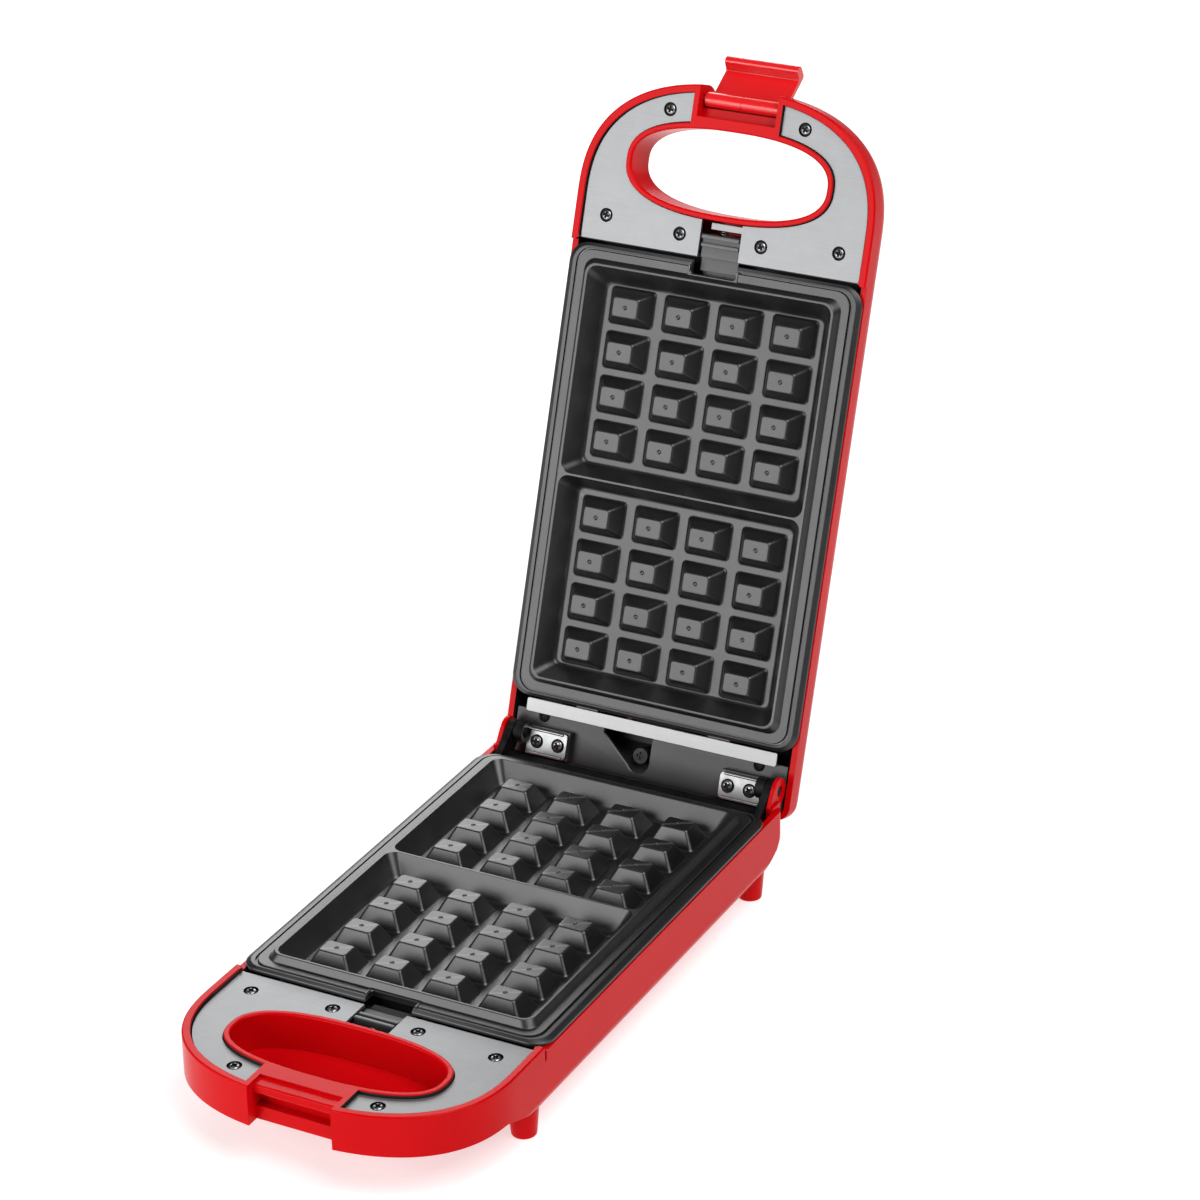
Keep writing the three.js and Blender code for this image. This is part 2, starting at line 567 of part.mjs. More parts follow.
waffleMaker.add(buildBase(), buildLid());

// origin on the floor, under the middle of the open waffle maker
waffleMaker.updateMatrixWorld(true);
const bounds = new THREE.Box3().setFromObject(waffleMaker, true);
const middle = bounds.getCenter(new THREE.Vector3());
waffleMaker.position.set(-middle.x, -middle.y, -bounds.min.z);

export default waffleMaker;
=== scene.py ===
import json
import math

import bmesh
import bpy
from mathutils import Matrix, Vector

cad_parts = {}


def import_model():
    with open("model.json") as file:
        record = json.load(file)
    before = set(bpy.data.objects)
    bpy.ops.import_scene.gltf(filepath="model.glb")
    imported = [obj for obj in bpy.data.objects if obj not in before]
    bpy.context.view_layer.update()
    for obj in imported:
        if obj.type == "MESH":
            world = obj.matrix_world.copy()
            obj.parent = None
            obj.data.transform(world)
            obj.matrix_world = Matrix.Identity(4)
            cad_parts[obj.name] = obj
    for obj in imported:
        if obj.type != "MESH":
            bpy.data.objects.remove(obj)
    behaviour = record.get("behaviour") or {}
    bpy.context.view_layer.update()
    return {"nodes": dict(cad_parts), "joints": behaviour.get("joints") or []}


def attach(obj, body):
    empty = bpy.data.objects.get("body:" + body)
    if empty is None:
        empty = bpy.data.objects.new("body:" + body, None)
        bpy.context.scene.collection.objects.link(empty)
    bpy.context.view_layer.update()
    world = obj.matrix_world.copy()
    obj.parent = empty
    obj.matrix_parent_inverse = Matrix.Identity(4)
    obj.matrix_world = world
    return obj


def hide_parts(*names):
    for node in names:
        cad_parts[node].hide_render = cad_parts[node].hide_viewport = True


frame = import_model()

# ------------------------------------------------------------------ sizes, in millimetres
LID_ANGLE = math.radians(70.85)
LATCH_SWING = math.radians(131)

HALF_WIDTH = 65.299
RIM = -3.5
WALL = 2.5
RIM_WALL = 3.1
GAP = 0.3
FLOOR = -39.0
FRONT = 222.0
FRONT_DEPTH = 50.88
ROUNDNESS = 2.5
REAR_CORNER = 5.0
SEAT_TOP = -5.7
SEAT_END = 203.3
RIM_ROUND = 0.75
RIM_SLOT = {"inner": 61.0, "outer": 70.0, "width": 1.3, "depth": -9.5}

# how far the cutting shapes run past the body
WIDE = 80.0
BEHIND = -60.0
BEYOND = 300.0
DEEP = -60.0

HOLE = {"y": 238.5, "a": 43.0, "b": 16.6, "wall": 2.4}
HOLE_FLOOR = {"top": -18.4, "under": -20.0}
RIB = 204.0
RIB_THICK = 1.6
RECESS = 17.2
RECESS_WALL = 2.2
BOSS_TOP = -6.5
TRIM_TOP = -5.0
TRIM_THICK = 1.2
TRIM_SCREWS = [(29.7, 260.5), (51.5, 214.7), (18.0, 212.1)]

PEG_COLUMNS = 4
PEG_ROWS = 4
PITCH_X = 24.0
PITCH_Y = 18.26
FIRST_ROWS = (38.2, 124.4)
PLATE_TOP = -0.15
PLATE_FLOOR = -9.0
DIVIDER = 108.65

LATCH_Y = 266.5
LATCH_Z = -9.5
PIN = 1.9
BORE = 2.25
KNUCKLE = 4.5
FEET = [(x, y) for y in (19.4, 208.0) for x in (-58.5, 58.5)]
EAR = (60.6, 62.4)

LATCH_HALF = 16.2
LATCH_PIN = 1.25
LATCH_BORE = 1.55
CATCH_HALF = 8.3
SCREW_BORE = 1.4
TRIM_BORE = 1.5
ARM_SCREW = (53.0, 10.5)
PANEL_SCREW = (49.0, 7.0)
LEAF_SCREWS = [(38.8, -3.0), (48.5, -3.0)]
WIRE_BOSS = (-4.4, -0.6)
LAMP = {"x": 32.0, "y": 211.5}
GLAND_Z = -19.5
SHARP_EDGE = math.radians(25)

BASE = {
    "name": "base",
    "side": -1,
    "rear": 1.6,
    "depth": -29.5,
    "round_in": 6.0,
    "round_up": 6.0,
    "rear_slope": [(1.6, -13.0), (8.5, -21.5), (19.0, -26.5), (27.0, -29.5)],
    "under_handle": [(203.0, -29.5), (231.0, -20.0)],
}
LID = {
    "name": "lid",
    "side": 1,
    "rear": -12.8,
    "depth": -22.0,
    "round_in": 10.0,
    "round_up": 11.0,
    "rear_slope": [(-12.8, -8.0), (-5.0, -15.8), (2.0, -22.0)],
    "under_handle": [(200.0, -22.0), (210.0, -20.0)],
}

joints = {joint["name"]: joint for joint in frame["joints"]}
hinge_axis = Matrix.Translation(Vector(joints["lid_hinge"]["pos_m"]))
to_metres = Matrix.Scale(0.001, 4)
PLACE_BASE = hinge_axis @ Matrix.Rotation(math.pi, 4, "Z") @ to_metres
PLACE_LID = hinge_axis @ Matrix.Rotation(LID_ANGLE, 4, "X") @ to_metres
PLACE_LATCH = (PLACE_LID @ Matrix.Translation((0, LATCH_Y, LATCH_Z))
               @ Matrix.Rotation(-LATCH_SWING, 4, "X"))
BASE["place"] = PLACE_BASE
LID["place"] = PLACE_LID


# ------------------------------------------------------------------ outlines
def arc(x, y, radius, start, stop, steps):
    turns = [start + (stop - start) * i / steps for i in range(steps + 1)]
    return [(x + radius * math.cos(t), y + radius * math.sin(t)) for t in turns]


def oval(a, b, y, start, stop, steps):
    """Part of the rounded oval |x/a|^n + |y/b|^n = 1, centred on x = 0."""
    power = 2 / ROUNDNESS
    points = []
    for i in range(steps + 1):
        t = start + (stop - start) * i / steps
        c, s = math.cos(t), math.sin(t)
        points.append((a * math.copysign(abs(c) ** power, c),
                       y + b * math.copysign(abs(s) ** power, s)))
    return points


def full_oval(a, b, y):
    return oval(a, b, y, 0, 2 * math.pi, 96)[:-1]


def quarter_turn(steps):
    """The angles of a quarter turn, from 0 to a right angle."""
    return [math.pi / 2 * k / steps for k in range(steps + 1)]


def circle(x, y, radius, z, sides):
    turns = [2 * math.pi * i / sides for i in range(sides)]
    return [(x + radius * math.cos(t), y + radius * math.sin(t), z) for t in turns]


def rounded_box(x0, x1, y0, y1, radius, steps=5):
    quarter = math.pi / 2
    return (arc(x1 - radius, y0 + radius, radius, -quarter, 0, steps)
            + arc(x1 - radius, y1 - radius, radius, 0, quarter, steps)
            + arc(x0 + radius, y1 - radius, radius, quarter, 2 * quarter, steps)
            + arc(x0 + radius, y0 + radius, radius, 2 * quarter, 3 * quarter, steps))


def housing_outline(inset, rear):
    half = HALF_WIDTH - inset
    corner = max(REAR_CORNER - inset, 0.6)
    quarter = math.pi / 2
    y = rear + inset + corner
    return (arc(half - corner, y, corner, -quarter, 0, 6)
            + oval(half, FRONT_DEPTH - inset, FRONT, 0, math.pi, 80)
            + arc(-half + corner, y, corner, 2 * quarter, 3 * quarter, 6))


def eased(keys, steps=4):
    """A polyline through key points, each (values, ease), with its corners rounded by ease."""
    line = []
    for i, (here, ease) in enumerate(keys):
        here = Vector(here)
        if ease == 0 or i in (0, len(keys) - 1):
            line.append(here)
            continue
        before = (Vector(keys[i - 1][0]) - here)
        after = (Vector(keys[i + 1][0]) - here)
        start = here + before * min(ease / before.length, 0.5)
        stop = here + after * min(ease / after.length, 0.5)
        for k in range(steps + 1):
            t = k / steps
            line.append(start.lerp(here, t).lerp(here.lerp(stop, t), t))
    return line


# ------------------------------------------------------------------ solids
def new_piece(mesh, name="part"):
    piece = bpy.data.objects.new(name, mesh)
    bpy.context.scene.collection.objects.link(piece)
    return piece


def from_bmesh(shape):
    bmesh.ops.recalc_face_normals(shape, faces=shape.faces)
    mesh = bpy.data.meshes.new("part")
    shape.to_mesh(mesh)
    shape.free()
    return new_piece(mesh)


def skin(rows):
    """A closed skin through rows of points of equal length, capped at both ends."""
    shape = bmesh.new()
    rings = [[shape.verts.new(point) for point in row] for row in rows]
    for low, high in zip(rings, rings[1:]):
        for i in range(len(low)):
            shape.faces.new((low[i - 1], low[i], high[i], high[i - 1]))
    shape.faces.new(rings[0][::-1])
    shape.faces.new(rings[-1])
    return from_bmesh(shape)


def loft(levels):
    return skin([[(x, y, z) for x, y in points] for points, z in levels])


def prism(points, z0, z1):
    return loft([(points, z0), (points, z1)])


def across(points, x0, x1, ease=0.0):
    """An outline in y and z, carried across from x0 to x1, its sharp edges eased."""
    piece = skin([[(x, y, z) for y, z in points] for x in (x0, x1)])
    return ease_edges(piece, ease) if ease else piece


def block(x0, x1, y0, y1, z0, z1, ease=0.0):
    return across([(y0, z0), (y1, z0), (y1, z1), (y0, z1)], x0, x1, ease)


def ease_edges(piece, ease):
    shape = bmesh.new()
    shape.from_mesh(piece.data)
    edges = [e for e in shape.edges
             if len(e.link_faces) == 2 and e.calc_face_angle(0) > SHARP_EDGE]
    bmesh.ops.bevel(shape, geom=edges, offset=ease, segments=2, profile=0.5,
                    affect="EDGES", clamp_overlap=True)
    bmesh.ops.recalc_face_normals(shape, faces=shape.faces)
    shape.to_mesh(piece.data)
    shape.free()
    return piece


def rod(axis, radius, start, stop, u, v, ease=0.0, sides=48):
    """A round bar along one axis, through a point given by its other two coordinates."""
    line = [(start, radius), (stop, radius)]
    if ease:
        line = [(start, radius - ease), (start + 0.3 * ease, radius - 0.3 * ease),
                (start + ease, radius), (stop - ease, radius),
                (stop - 0.3 * ease, radius - 0.3 * ease), (stop, radius - ease)]
    rows = []
    for along, r in line:
        row = []
        for i in range(sides):
            t = 2 * math.pi * i / sides
            p, q = u + r * math.cos(t), v + r * math.sin(t)
            row.append({"x": (along, p, q), "y": (p, along, q), "z": (p, q, along)}[axis])
        rows.append(row)
    return skin(rows)


def evaluated(piece):
    """The piece's mesh with its modifiers worked out, which are then removed."""
    scene = bpy.context.evaluated_depsgraph_get()
    mesh = bpy.data.meshes.new_from_object(piece.evaluated_get(scene), depsgraph=scene)
    piece.modifiers.clear()
    old = piece.data
    piece.data = mesh
    bpy.data.meshes.remove(old)
    return piece


def combine(piece, tools, operation):
    for tool in tools:
        modifier = piece.modifiers.new("combine", "BOOLEAN")
        modifier.operation = operation
        modifier.solver = "EXACT"
        modifier.object = tool
    evaluated(piece)
    for tool in tools:
        bpy.data.objects.remove(tool)
    return piece


def carve(piece, *tools):
    return combine(piece, tools, "DIFFERENCE")


def fuse(piece, *tools):
    return combine(piece, tools, "UNION")


def common(piece, tool):
    return combine(piece, [tool], "INTERSECT")


def tint(piece, index, test):
    """Gives the faces whose middle passes the test another of the piece's materials."""
    for face in piece.data.polygons:
        if test(face.center, face.normal):
            face.material_index = index


def settle(piece, name, place, finishes, body, nodes, sharp=32):
    marked = [face.material_index for face in piece.data.polygons]
    piece.name = name
    piece.data.name = name
    piece.data.transform(place)
    piece.data.materials.clear()
    for finish in finishes:
        piece.data.materials.append(finish)
    piece.data.polygons.foreach_set("material_index", marked)
    smooth(piece, sharp)
    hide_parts(*nodes)
    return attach(piece, body)


def smooth(piece, sharp):
    piece.data.shade_smooth()
    piece.data.set_sharp_from_angle(angle=math.radians(sharp))
    modifier = piece.modifiers.new("normals", "WEIGHTED_NORMAL")
    modifier.keep_sharp = True
    modifier.weight = 80
    return evaluated(piece)


# ------------------------------------------------------------------ shader writing
class Wire:
    """A socket's value in a material. Arithmetic on it adds Math nodes."""

    def __init__(self, finish, socket):
        self.finish = finish
        self.socket = socket

    def maths(self, operation, first, second):
        return self.finish.node("ShaderNodeMath", {"operation": operation},
                                {0: first, 1: second})

    def __add__(self, other):
        return self.maths("ADD", self, other)

    def __mul__(self, other):
        return self.maths("MULTIPLY", self, other)

    __radd__ = __add__
    __rmul__ = __mul__


class Finish:
    """A material built from a Principled shader and the nodes that feed it."""

    def __init__(self, name, **values):
        self.material = bpy.data.materials.new(name)
        self.material.use_nodes = True
        self.tree = self.material.node_tree
        self.shader = self.tree.nodes["Principled BSDF"]
        for socket, value in values.items():
            self.shader.inputs[socket.replace("_", " ")].default_value = value
        self.place = self.node("ShaderNodeTexCoord", output="Object")

    def node(self, kind, settings=None, sockets=None, output=0):
        made = self.tree.nodes.new(kind)
        for setting, value in (settings or {}).items():
            setattr(made, setting, value)
        for socket, value in (sockets or {}).items():
            self.feed(made.inputs[socket], value)
        return Wire(self, made.outputs[output])

    def feed(self, socket, value):
        if isinstance(value, Wire):
            self.tree.links.new(value.socket, socket)
        else:
            socket.default_value = value

    def stretched(self, x, y, z):
        return self.node("ShaderNodeVectorMath", {"operation": "MULTIPLY"},
                         {0: self.place, 1: (x, y, z)})

    def noise(self, scale, detail=2.0, rough=0.5, at=None):
        return self.node("ShaderNodeTexNoise", None,
                         {"Vector": at or self.place, "Scale": scale, "Detail": detail,
                          "Roughness": rough})

    def ramp(self, value, low, high, to_low=0.0, to_high=1.0):
        return self.node("ShaderNodeMapRange", {"interpolation_type": "SMOOTHSTEP"},
                         {"Value": value, "From Min": low, "From Max": high,
                          "To Min": to_low, "To Max": to_high})

    def blend(self, factor, first, second):
        return self.node("ShaderNodeMix", {"data_type": "RGBA"},
                         {0: factor, 6: (*first, 1) if isinstance(first, tuple) else first,
                          7: (*second, 1) if isinstance(second, tuple) else second}, 2)

    def bump(self, height, strength, distance):
        normal = self.node("ShaderNodeBump", None,
                           {"Height": height, "Strength": strength, "Distance": distance},
                           "Normal")
        self.feed(self.shader.inputs["Normal"], normal)

    def colour(self, value):
        self.feed(self.shader.inputs["Base Color"], value)

    def roughness(self, value):
        self.feed(self.shader.inputs["Roughness"], value)

    def edge_highlight(self):
        """1 along convex edges and 0 on the open faces, for painted edge highlights."""
        pointed = self.node("ShaderNodeNewGeometry", output="Pointiness")
        return self.ramp(pointed, 0.518, 0.578)


def glossy_red(name, deep, bright, level):
    made = Finish(name, IOR=1.5, Specular_IOR_Level=level)
    cloud = made.noise(22, 3)
    made.colour(made.blend(made.ramp(cloud, 0.3, 0.7), deep, bright))
    grain = made.noise(2600, 2, 0.6)
    made.roughness(0.2 + 0.07 * made.noise(90, 3) + 0.03 * grain)
    peel = made.noise(420, 2, 0.4)
    made.bump(peel + 0.25 * grain, 0.05, 0.00006)
    return made.material


def nonstick_coating():
    made = Finish("nonstick_coating", IOR=1.5, Specular_IOR_Level=0.75)
    fleck = made.noise(5200, 1, 0.5)
    cloud = made.noise(46, 4, 0.6)
    dark = made.blend(made.ramp(cloud, 0.3, 0.75), (0.005, 0.005, 0.0055), (0.01, 0.01, 0.0105))
    speckled = made.blend(made.ramp(fleck, 0.62, 0.74, 0, 0.3), dark, (0.05, 0.05, 0.053))
    # convex edges are painted lighter: a painted highlight
    made.colour(made.blend(made.edge_highlight() * 0.6, speckled, (0.09, 0.09, 0.095)))
    made.roughness(0.27 + 0.1 * cloud + 0.08 * fleck)
    made.bump(fleck + 0.5 * made.noise(1500, 2), 0.2, 0.00007)
    return made.material


def brushed_sheet(name, pale, dull, base_rough):
    made = Finish(name, Metallic=1.0)
    line = made.noise(1, 4, 0.65, made.stretched(90, 6500, 6500))
    streak = made.noise(1, 3, 0.6, made.stretched(25, 1800, 1800))
    mottle = made.noise(110, 4, 0.6)
    lively = 0.3 * line + 0.2 * streak + 0.5 * mottle
    made.colour(made.blend(made.ramp(lively, 0.32, 0.68), dull, pale))
    made.roughness(base_rough + 0.16 * line + 0.08 * mottle)
    made.bump(line + 0.4 * mottle, 0.16, 0.00005)
    return made.material


def plain_metal(name, colour, worn, rough):
    made = Finish(name, Metallic=1.0)
    cloud = made.noise(160, 4, 0.6)
    fine = made.noise(2700, 2)
    made.colour(made.blend(made.ramp(cloud, 0.3, 0.7), colour, worn))
    made.roughness(rough + 0.14 * cloud + 0.06 * fine)
    made.bump(fine + made.noise(900, 2), 0.12, 0.00006)
    return made.material


def satin_plastic(name, colour, worn, rough):
    made = Finish(name, IOR=1.5)
    cloud = made.noise(60, 3)
    fine = made.noise(2300, 2, 0.55)
    body = made.blend(made.ramp(cloud, 0.3, 0.7), colour, worn)
    # the lighter edge colour paints highlights along convex edges
    edge = tuple(min(1, c * 2 + 0.03) for c in worn)
    made.colour(made.blend(made.edge_highlight() * 0.4, body, edge))
    made.roughness(rough + 0.12 * fine + 0.05 * cloud)
    made.bump(fine, 0.25, 0.00009)
    return made.material


def woven_sleeve():
    made = Finish("woven_sleeve", Roughness=0.85)
    one = made.node("ShaderNodeTexWave", {"bands_direction": "DIAGONAL"},
                    {"Vector": made.place, "Scale": 1400, "Distortion": 1.5}, "Fac")
    two = made.node("ShaderNodeTexWave", {"bands_direction": "DIAGONAL"},
                    {"Vector": made.stretched(-1, 1, 1), "Scale": 1400, "Distortion": 1.5}, "Fac")
    weave = one * two
    made.colour(made.blend(weave, (0.42, 0.38, 0.29), (0.74, 0.7, 0.6)))
    made.bump(weave, 0.5, 0.0002)
    return made.material


def lens(name, colour, bright):
    made = Finish(name, Roughness=0.08, Coat_Weight=0.6, IOR=1.52)
    cells = made.node("ShaderNodeTexVoronoi", None, {"Vector": made.place, "Scale": 1300},
                      "Distance")
    made.colour(made.blend(made.ramp(cells, 0.1, 0.6), bright, colour))
    made.bump(cells, 0.2, 0.0001)
    return made.material


def porcelain():
    made = Finish("terminal_porcelain", Roughness=0.5, IOR=1.5)
    cloud = made.noise(300, 4, 0.6)
    made.colour(made.blend(made.ramp(cloud, 0.35, 0.7), (0.66, 0.62, 0.53), (0.8, 0.77, 0.7)))
    made.roughness(0.42 + 0.2 * cloud)
    made.bump(made.noise(2400, 3), 0.2, 0.0001)
    return made.material


RED = glossy_red("glossy_red", (0.52, 0.001, 0.003), (0.56, 0.002, 0.004), 0.07)
LATCH_RED = glossy_red("latch_red", (0.66, 0.008, 0.01), (0.72, 0.01, 0.013), 0.6)
NONSTICK = nonstick_coating()
BRUSHED = brushed_sheet("brushed_trim", (0.353, 0.358, 0.363), (0.298, 0.3, 0.307), 0.42)
BRIGHT = brushed_sheet("bright_strip", (0.45, 0.45, 0.455), (0.378, 0.378, 0.383), 0.4)
STEEL = plain_metal("plated_steel", (0.34, 0.34, 0.34), (0.25, 0.25, 0.255), 0.26)
SCREW = plain_metal("screw_steel", (0.42, 0.42, 0.43), (0.26, 0.26, 0.27), 0.22)
# dark steel for the base arms, hinge axles, base strip and panel screws; it also paints shade
# into the trim countersinks, screw recesses, leaf knuckles and leaf screw grooves
DARK_STEEL_AND_SHADE = plain_metal("blackened_steel_and_painted_shade", (0.012, 0.012, 0.013), (0.03, 0.03, 0.032), 0.5)
ELEMENT = plain_metal("element_sheath", (0.16, 0.14, 0.12), (0.08, 0.075, 0.07), 0.45)
BLACK = satin_plastic("satin_black", (0.012, 0.012, 0.013), (0.02, 0.02, 0.021), 0.3)
CATCH = satin_plastic("catch_grey", (0.03, 0.03, 0.031), (0.045, 0.045, 0.046), 0.28)
# near-black painted shade for the faces that line the housings' hollows
HOLLOW_SHADE = satin_plastic("hollow_painted_shade", (0.006, 0.006, 0.0065), (0.01, 0.01, 0.011), 0.5)
SLEEVE = woven_sleeve()
PORCELAIN = porcelain()
RED_LENS = lens("red_lens", (0.4, 0.005, 0.004), (0.85, 0.05, 0.03))
GREEN_LENS = lens("green_lens", (0.005, 0.22, 0.03), (0.06, 0.6, 0.12))


# ------------------------------------------------------------------ housings
def housing_body(half, inset):
    """The body inside the outline, moved in by inset, with the slopes behind and under."""
    depth = half["depth"] + inset
    turn_in, turn_up = half["round_in"], half["round_up"]
    line = [(inset, 5.0)]
    if not inset:
        line = [(RIM_ROUND * (1 - math.cos(t)), RIM - RIM_ROUND * (1 - math.sin(t)))
                for t in reversed(quarter_turn(4))]
    line += [(inset + turn_in * (1 - math.cos(t)), depth + turn_up * (1 - math.sin(t)))
             for t in quarter_turn(8)]
    body = loft([(housing_outline(offset, half["rear"]), z) for offset, z in reversed(line)])
    slope = [(y + inset * 0.7, z + inset * 0.7) for y, z in half["rear_slope"]]
    behind = slope + [(slope[-1][0], DEEP), (-40, DEEP), (-40, slope[0][1])]
    (y0, z0), (y1, z1) = half["under_handle"]
    under = [(y0, z0 + inset), (y0, DEEP), (BEYOND, DEEP), (BEYOND, z1 + inset),
             (y1, z1 + inset)]
    return carve(body, across(behind, -WIDE, WIDE), across(under, -WIDE, WIDE))


def mirrored(pairs):
    return [(sign * x, y) for x, y in pairs for sign in (-1, 1)]


def rim_cavity(half):
    """The hollow of the handle, its upper edge flared so that the rim's inner edge is round."""
    handle_end = (-WIDE, WIDE, RIB + RIB_THICK, BEYOND, DEEP, 10)
    cavity = common(housing_body(half, RIM_WALL), block(*handle_end))
    lip, past_lip = 0.4, 0.41
    flare = [(housing_outline(RIM_WALL - lip * (1 - math.cos(t)), half["rear"]),
              RIM - lip * (1 - math.sin(t))) for t in quarter_turn(3)]
    flare.append((housing_outline(RIM_WALL - past_lip, half["rear"]), 5.0))
    cavity = fuse(cavity, common(loft(flare), block(*handle_end)))
    a, b, y = HOLE["a"] + HOLE["wall"], HOLE["b"] + HOLE["wall"], HOLE["y"]
    edge, past_edge = 0.45, 0.46
    collar = [(full_oval(a, b, y), DEEP), (full_oval(a, b, y), RIM - edge)]
    for t in quarter_turn(3)[1:]:
        turn_in = edge * (1 - math.cos(t))
        collar.append((full_oval(a - turn_in, b - turn_in, y), RIM - edge * (1 - math.sin(t))))
    collar.append((full_oval(a - past_edge, b - past_edge, y), 20))
    wide = RECESS + RECESS_WALL
    bosses = [rod("z", 3.4, DEEP, BOSS_TOP, x, y, sides=24) for x, y in mirrored(TRIM_SCREWS)]
    return carve(cavity, loft(collar), block(-wide, wide, 250, BEYOND, DEEP, 20), *bosses)


def handle_hole(half):
    """The finger hole, flared at the top and at its lower end."""
    a, b, y = HOLE["a"], HOLE["b"], HOLE["y"]
    under = half["under_handle"][1][1]
    flare, lower = 0.9, 0.3
    levels = [(DEEP, lower), (under, lower)]
    levels += [(under + lower * (1 - math.cos(t)), lower * (1 - math.sin(t)))
               for t in quarter_turn(4)[1:]]
    levels += [(RIM - flare * (1 - math.sin(t)), flare * (1 - math.cos(t)))
               for t in quarter_turn(4)]
    levels += [(20, flare + 0.01)]
    return loft([(full_oval(a + w, b + w, y), z) for z, w in levels])


def housing_shell(half):
    hot = common(housing_body(half, WALL), block(-WIDE, WIDE, BEHIND, RIB, DEEP, 10))
    bores = [rod("z", TRIM_BORE, -14, 0, x, y, sides=16) for x, y in mirrored(TRIM_SCREWS)]
    lowered = block(-62, 62, RIB - 1, RIB + RIB_THICK + 1, BOSS_TOP, 5)
    catch_way = block(-9.2, 9.2, RIB - 1, RIB + RIB_THICK + 1, -12.5, 5)
    seat = block(-WIDE, WIDE, BEHIND, SEAT_END, SEAT_TOP, 5)
    return carve(housing_body(half, 0), hot, rim_cavity(half), lowered, catch_way, seat,
                 handle_hole(half), *bores)


def in_hollow(half):
    """A test for the faces that line a half's hollows, which are painted near-black as shade."""
    def inside(x, y, a, b, middle):
        return abs(x / a) ** ROUNDNESS + abs((y - middle) / b) ** ROUNDNESS < 1

    def test(centre, normal):
        if normal.z < -0.08:
            return False
        p = centre + 0.35 * normal
        if p.y < RIB + 0.2:
            ear = abs(p.x) > 59.9 and p.y < 9.6
            return (not ear and abs(p.x) < HALF_WIDTH - WALL + 0.1 and p.y > half["rear"] + 1.5
                    and half["depth"] + 1 < p.z < SEAT_TOP - 0.2)
        within = p.y < FRONT or inside(p.x, p.y, HALF_WIDTH - RIM_WALL + 0.2,
                                       FRONT_DEPTH - RIM_WALL + 0.2, FRONT)
        collar = inside(p.x, p.y, HOLE["a"] + HOLE["wall"] - 0.1, HOLE["b"] + HOLE["wall"] - 0.1,
                        HOLE["y"])
        recess = abs(p.x) < RECESS + 0.5 and p.y > 250
        return (within and abs(p.x) < HALF_WIDTH - RIM_WALL + 0.2 and not collar and not recess
                and half["depth"] + 1 < p.z < RIM - 0.5)

    return test


def latch_recess():
    """The notch in the tip of a handle, with rounded mouth edges."""
    lines = eased([((-RECESS, 263.0), 0), ((RECESS, 263.0), 0), ((RECESS, 272.4), 0.8),
                   ((RECESS + 1.4, 276.0), 0), ((-RECESS - 1.4, 276.0), 0),
                   ((-RECESS, 272.4), 0.8)], 3)
    return prism([(p.x, p.y) for p in lines], DEEP, 5)


def foot(x, y):
    line = eased([((0.5, FLOOR), 0), ((4.8, FLOOR), 0.8), ((6.2, -21.5), 0)], 4)
    return skin([circle(x, y, radius, z, 40) for radius, z in line])


def base_ear(sign):
    inner, outer, wall = EAR[0] * sign, EAR[1] * sign, 63.5 * sign
    x0, x1 = sorted((inner, outer))
    w0, w1 = sorted((inner, wall))
    ear = fuse(rod("x", 5.5, x0, x1, 0, 0, ease=0.35),
               across([(-4.6, -3), (1.6, -8.5), (1.6, -16), (9, -16), (9, -3.5), (4.8, 2.6)],
                      x0, x1),
               across([(1.8, -16), (9, -16), (9, RIM), (1.8, RIM)], w0, w1))
    return carve(ear, rod("x", BORE, x0 - 1, x1 + 1, 0, 0))


def recess_bar(keys, steps=4):
    """A bar across the latch's recess, the corners of its profile rounded."""
    return across([(p.x, p.y) for p in eased(keys, steps)], -18, 18)


def base_housing():
    catch_bar = recess_bar([((262, -8.4), 0), ((268.4, -8.4), 1.0), ((268.4, -4.8), 1.0),
                            ((262, -4.8), 0)], 5)
    ledge = recess_bar([((262, -20), 0), ((266.8, -20), 0), ((266.8, -14.5), 0.6),
                        ((262, -14.5), 0)])
    arm_bosses = [common(rod("z", 3.2, -40, -13.5, x, y, sides=24), housing_body(BASE, 1))
                  for x, y in mirrored([ARM_SCREW])]
    rim_slots = [block(*sorted((RIM_SLOT["inner"] * s, RIM_SLOT["outer"] * s)),
                       SEAT_END - RIM_SLOT["width"], SEAT_END, RIM_SLOT["depth"], 5)
                 for s in (-1, 1)]
    shell = carve(housing_shell(BASE), latch_recess(), block(-60.5, 60.5, -5, 4.4, -10.2, 5),
                  *rim_slots, block(-8, 8, -5, 4.3, -12.5, 5))
    hole_floor = prism(full_oval(HOLE["a"] + 1, HOLE["b"] + 1, HOLE["y"]),
                       HOLE_FLOOR["under"], HOLE_FLOOR["top"])
    shell = fuse(shell, hole_floor, catch_bar, ledge, base_ear(-1), base_ear(1), *arm_bosses,
                 *[foot(x, y) for x, y in FEET])
    shell = carve(shell, rod("y", 4.3, -4, 24, 0, GLAND_Z),
                  *[rod("x", BORE, *sorted((EAR[0] * s, EAR[1] * s)), 0, 0) for s in (-1, 1)],
                  *[rod("z", SCREW_BORE, -20, -10, x, y, sides=16)
                    for x, y in mirrored([ARM_SCREW])])
    tint(shell, 1, in_hollow(BASE))
    return shell


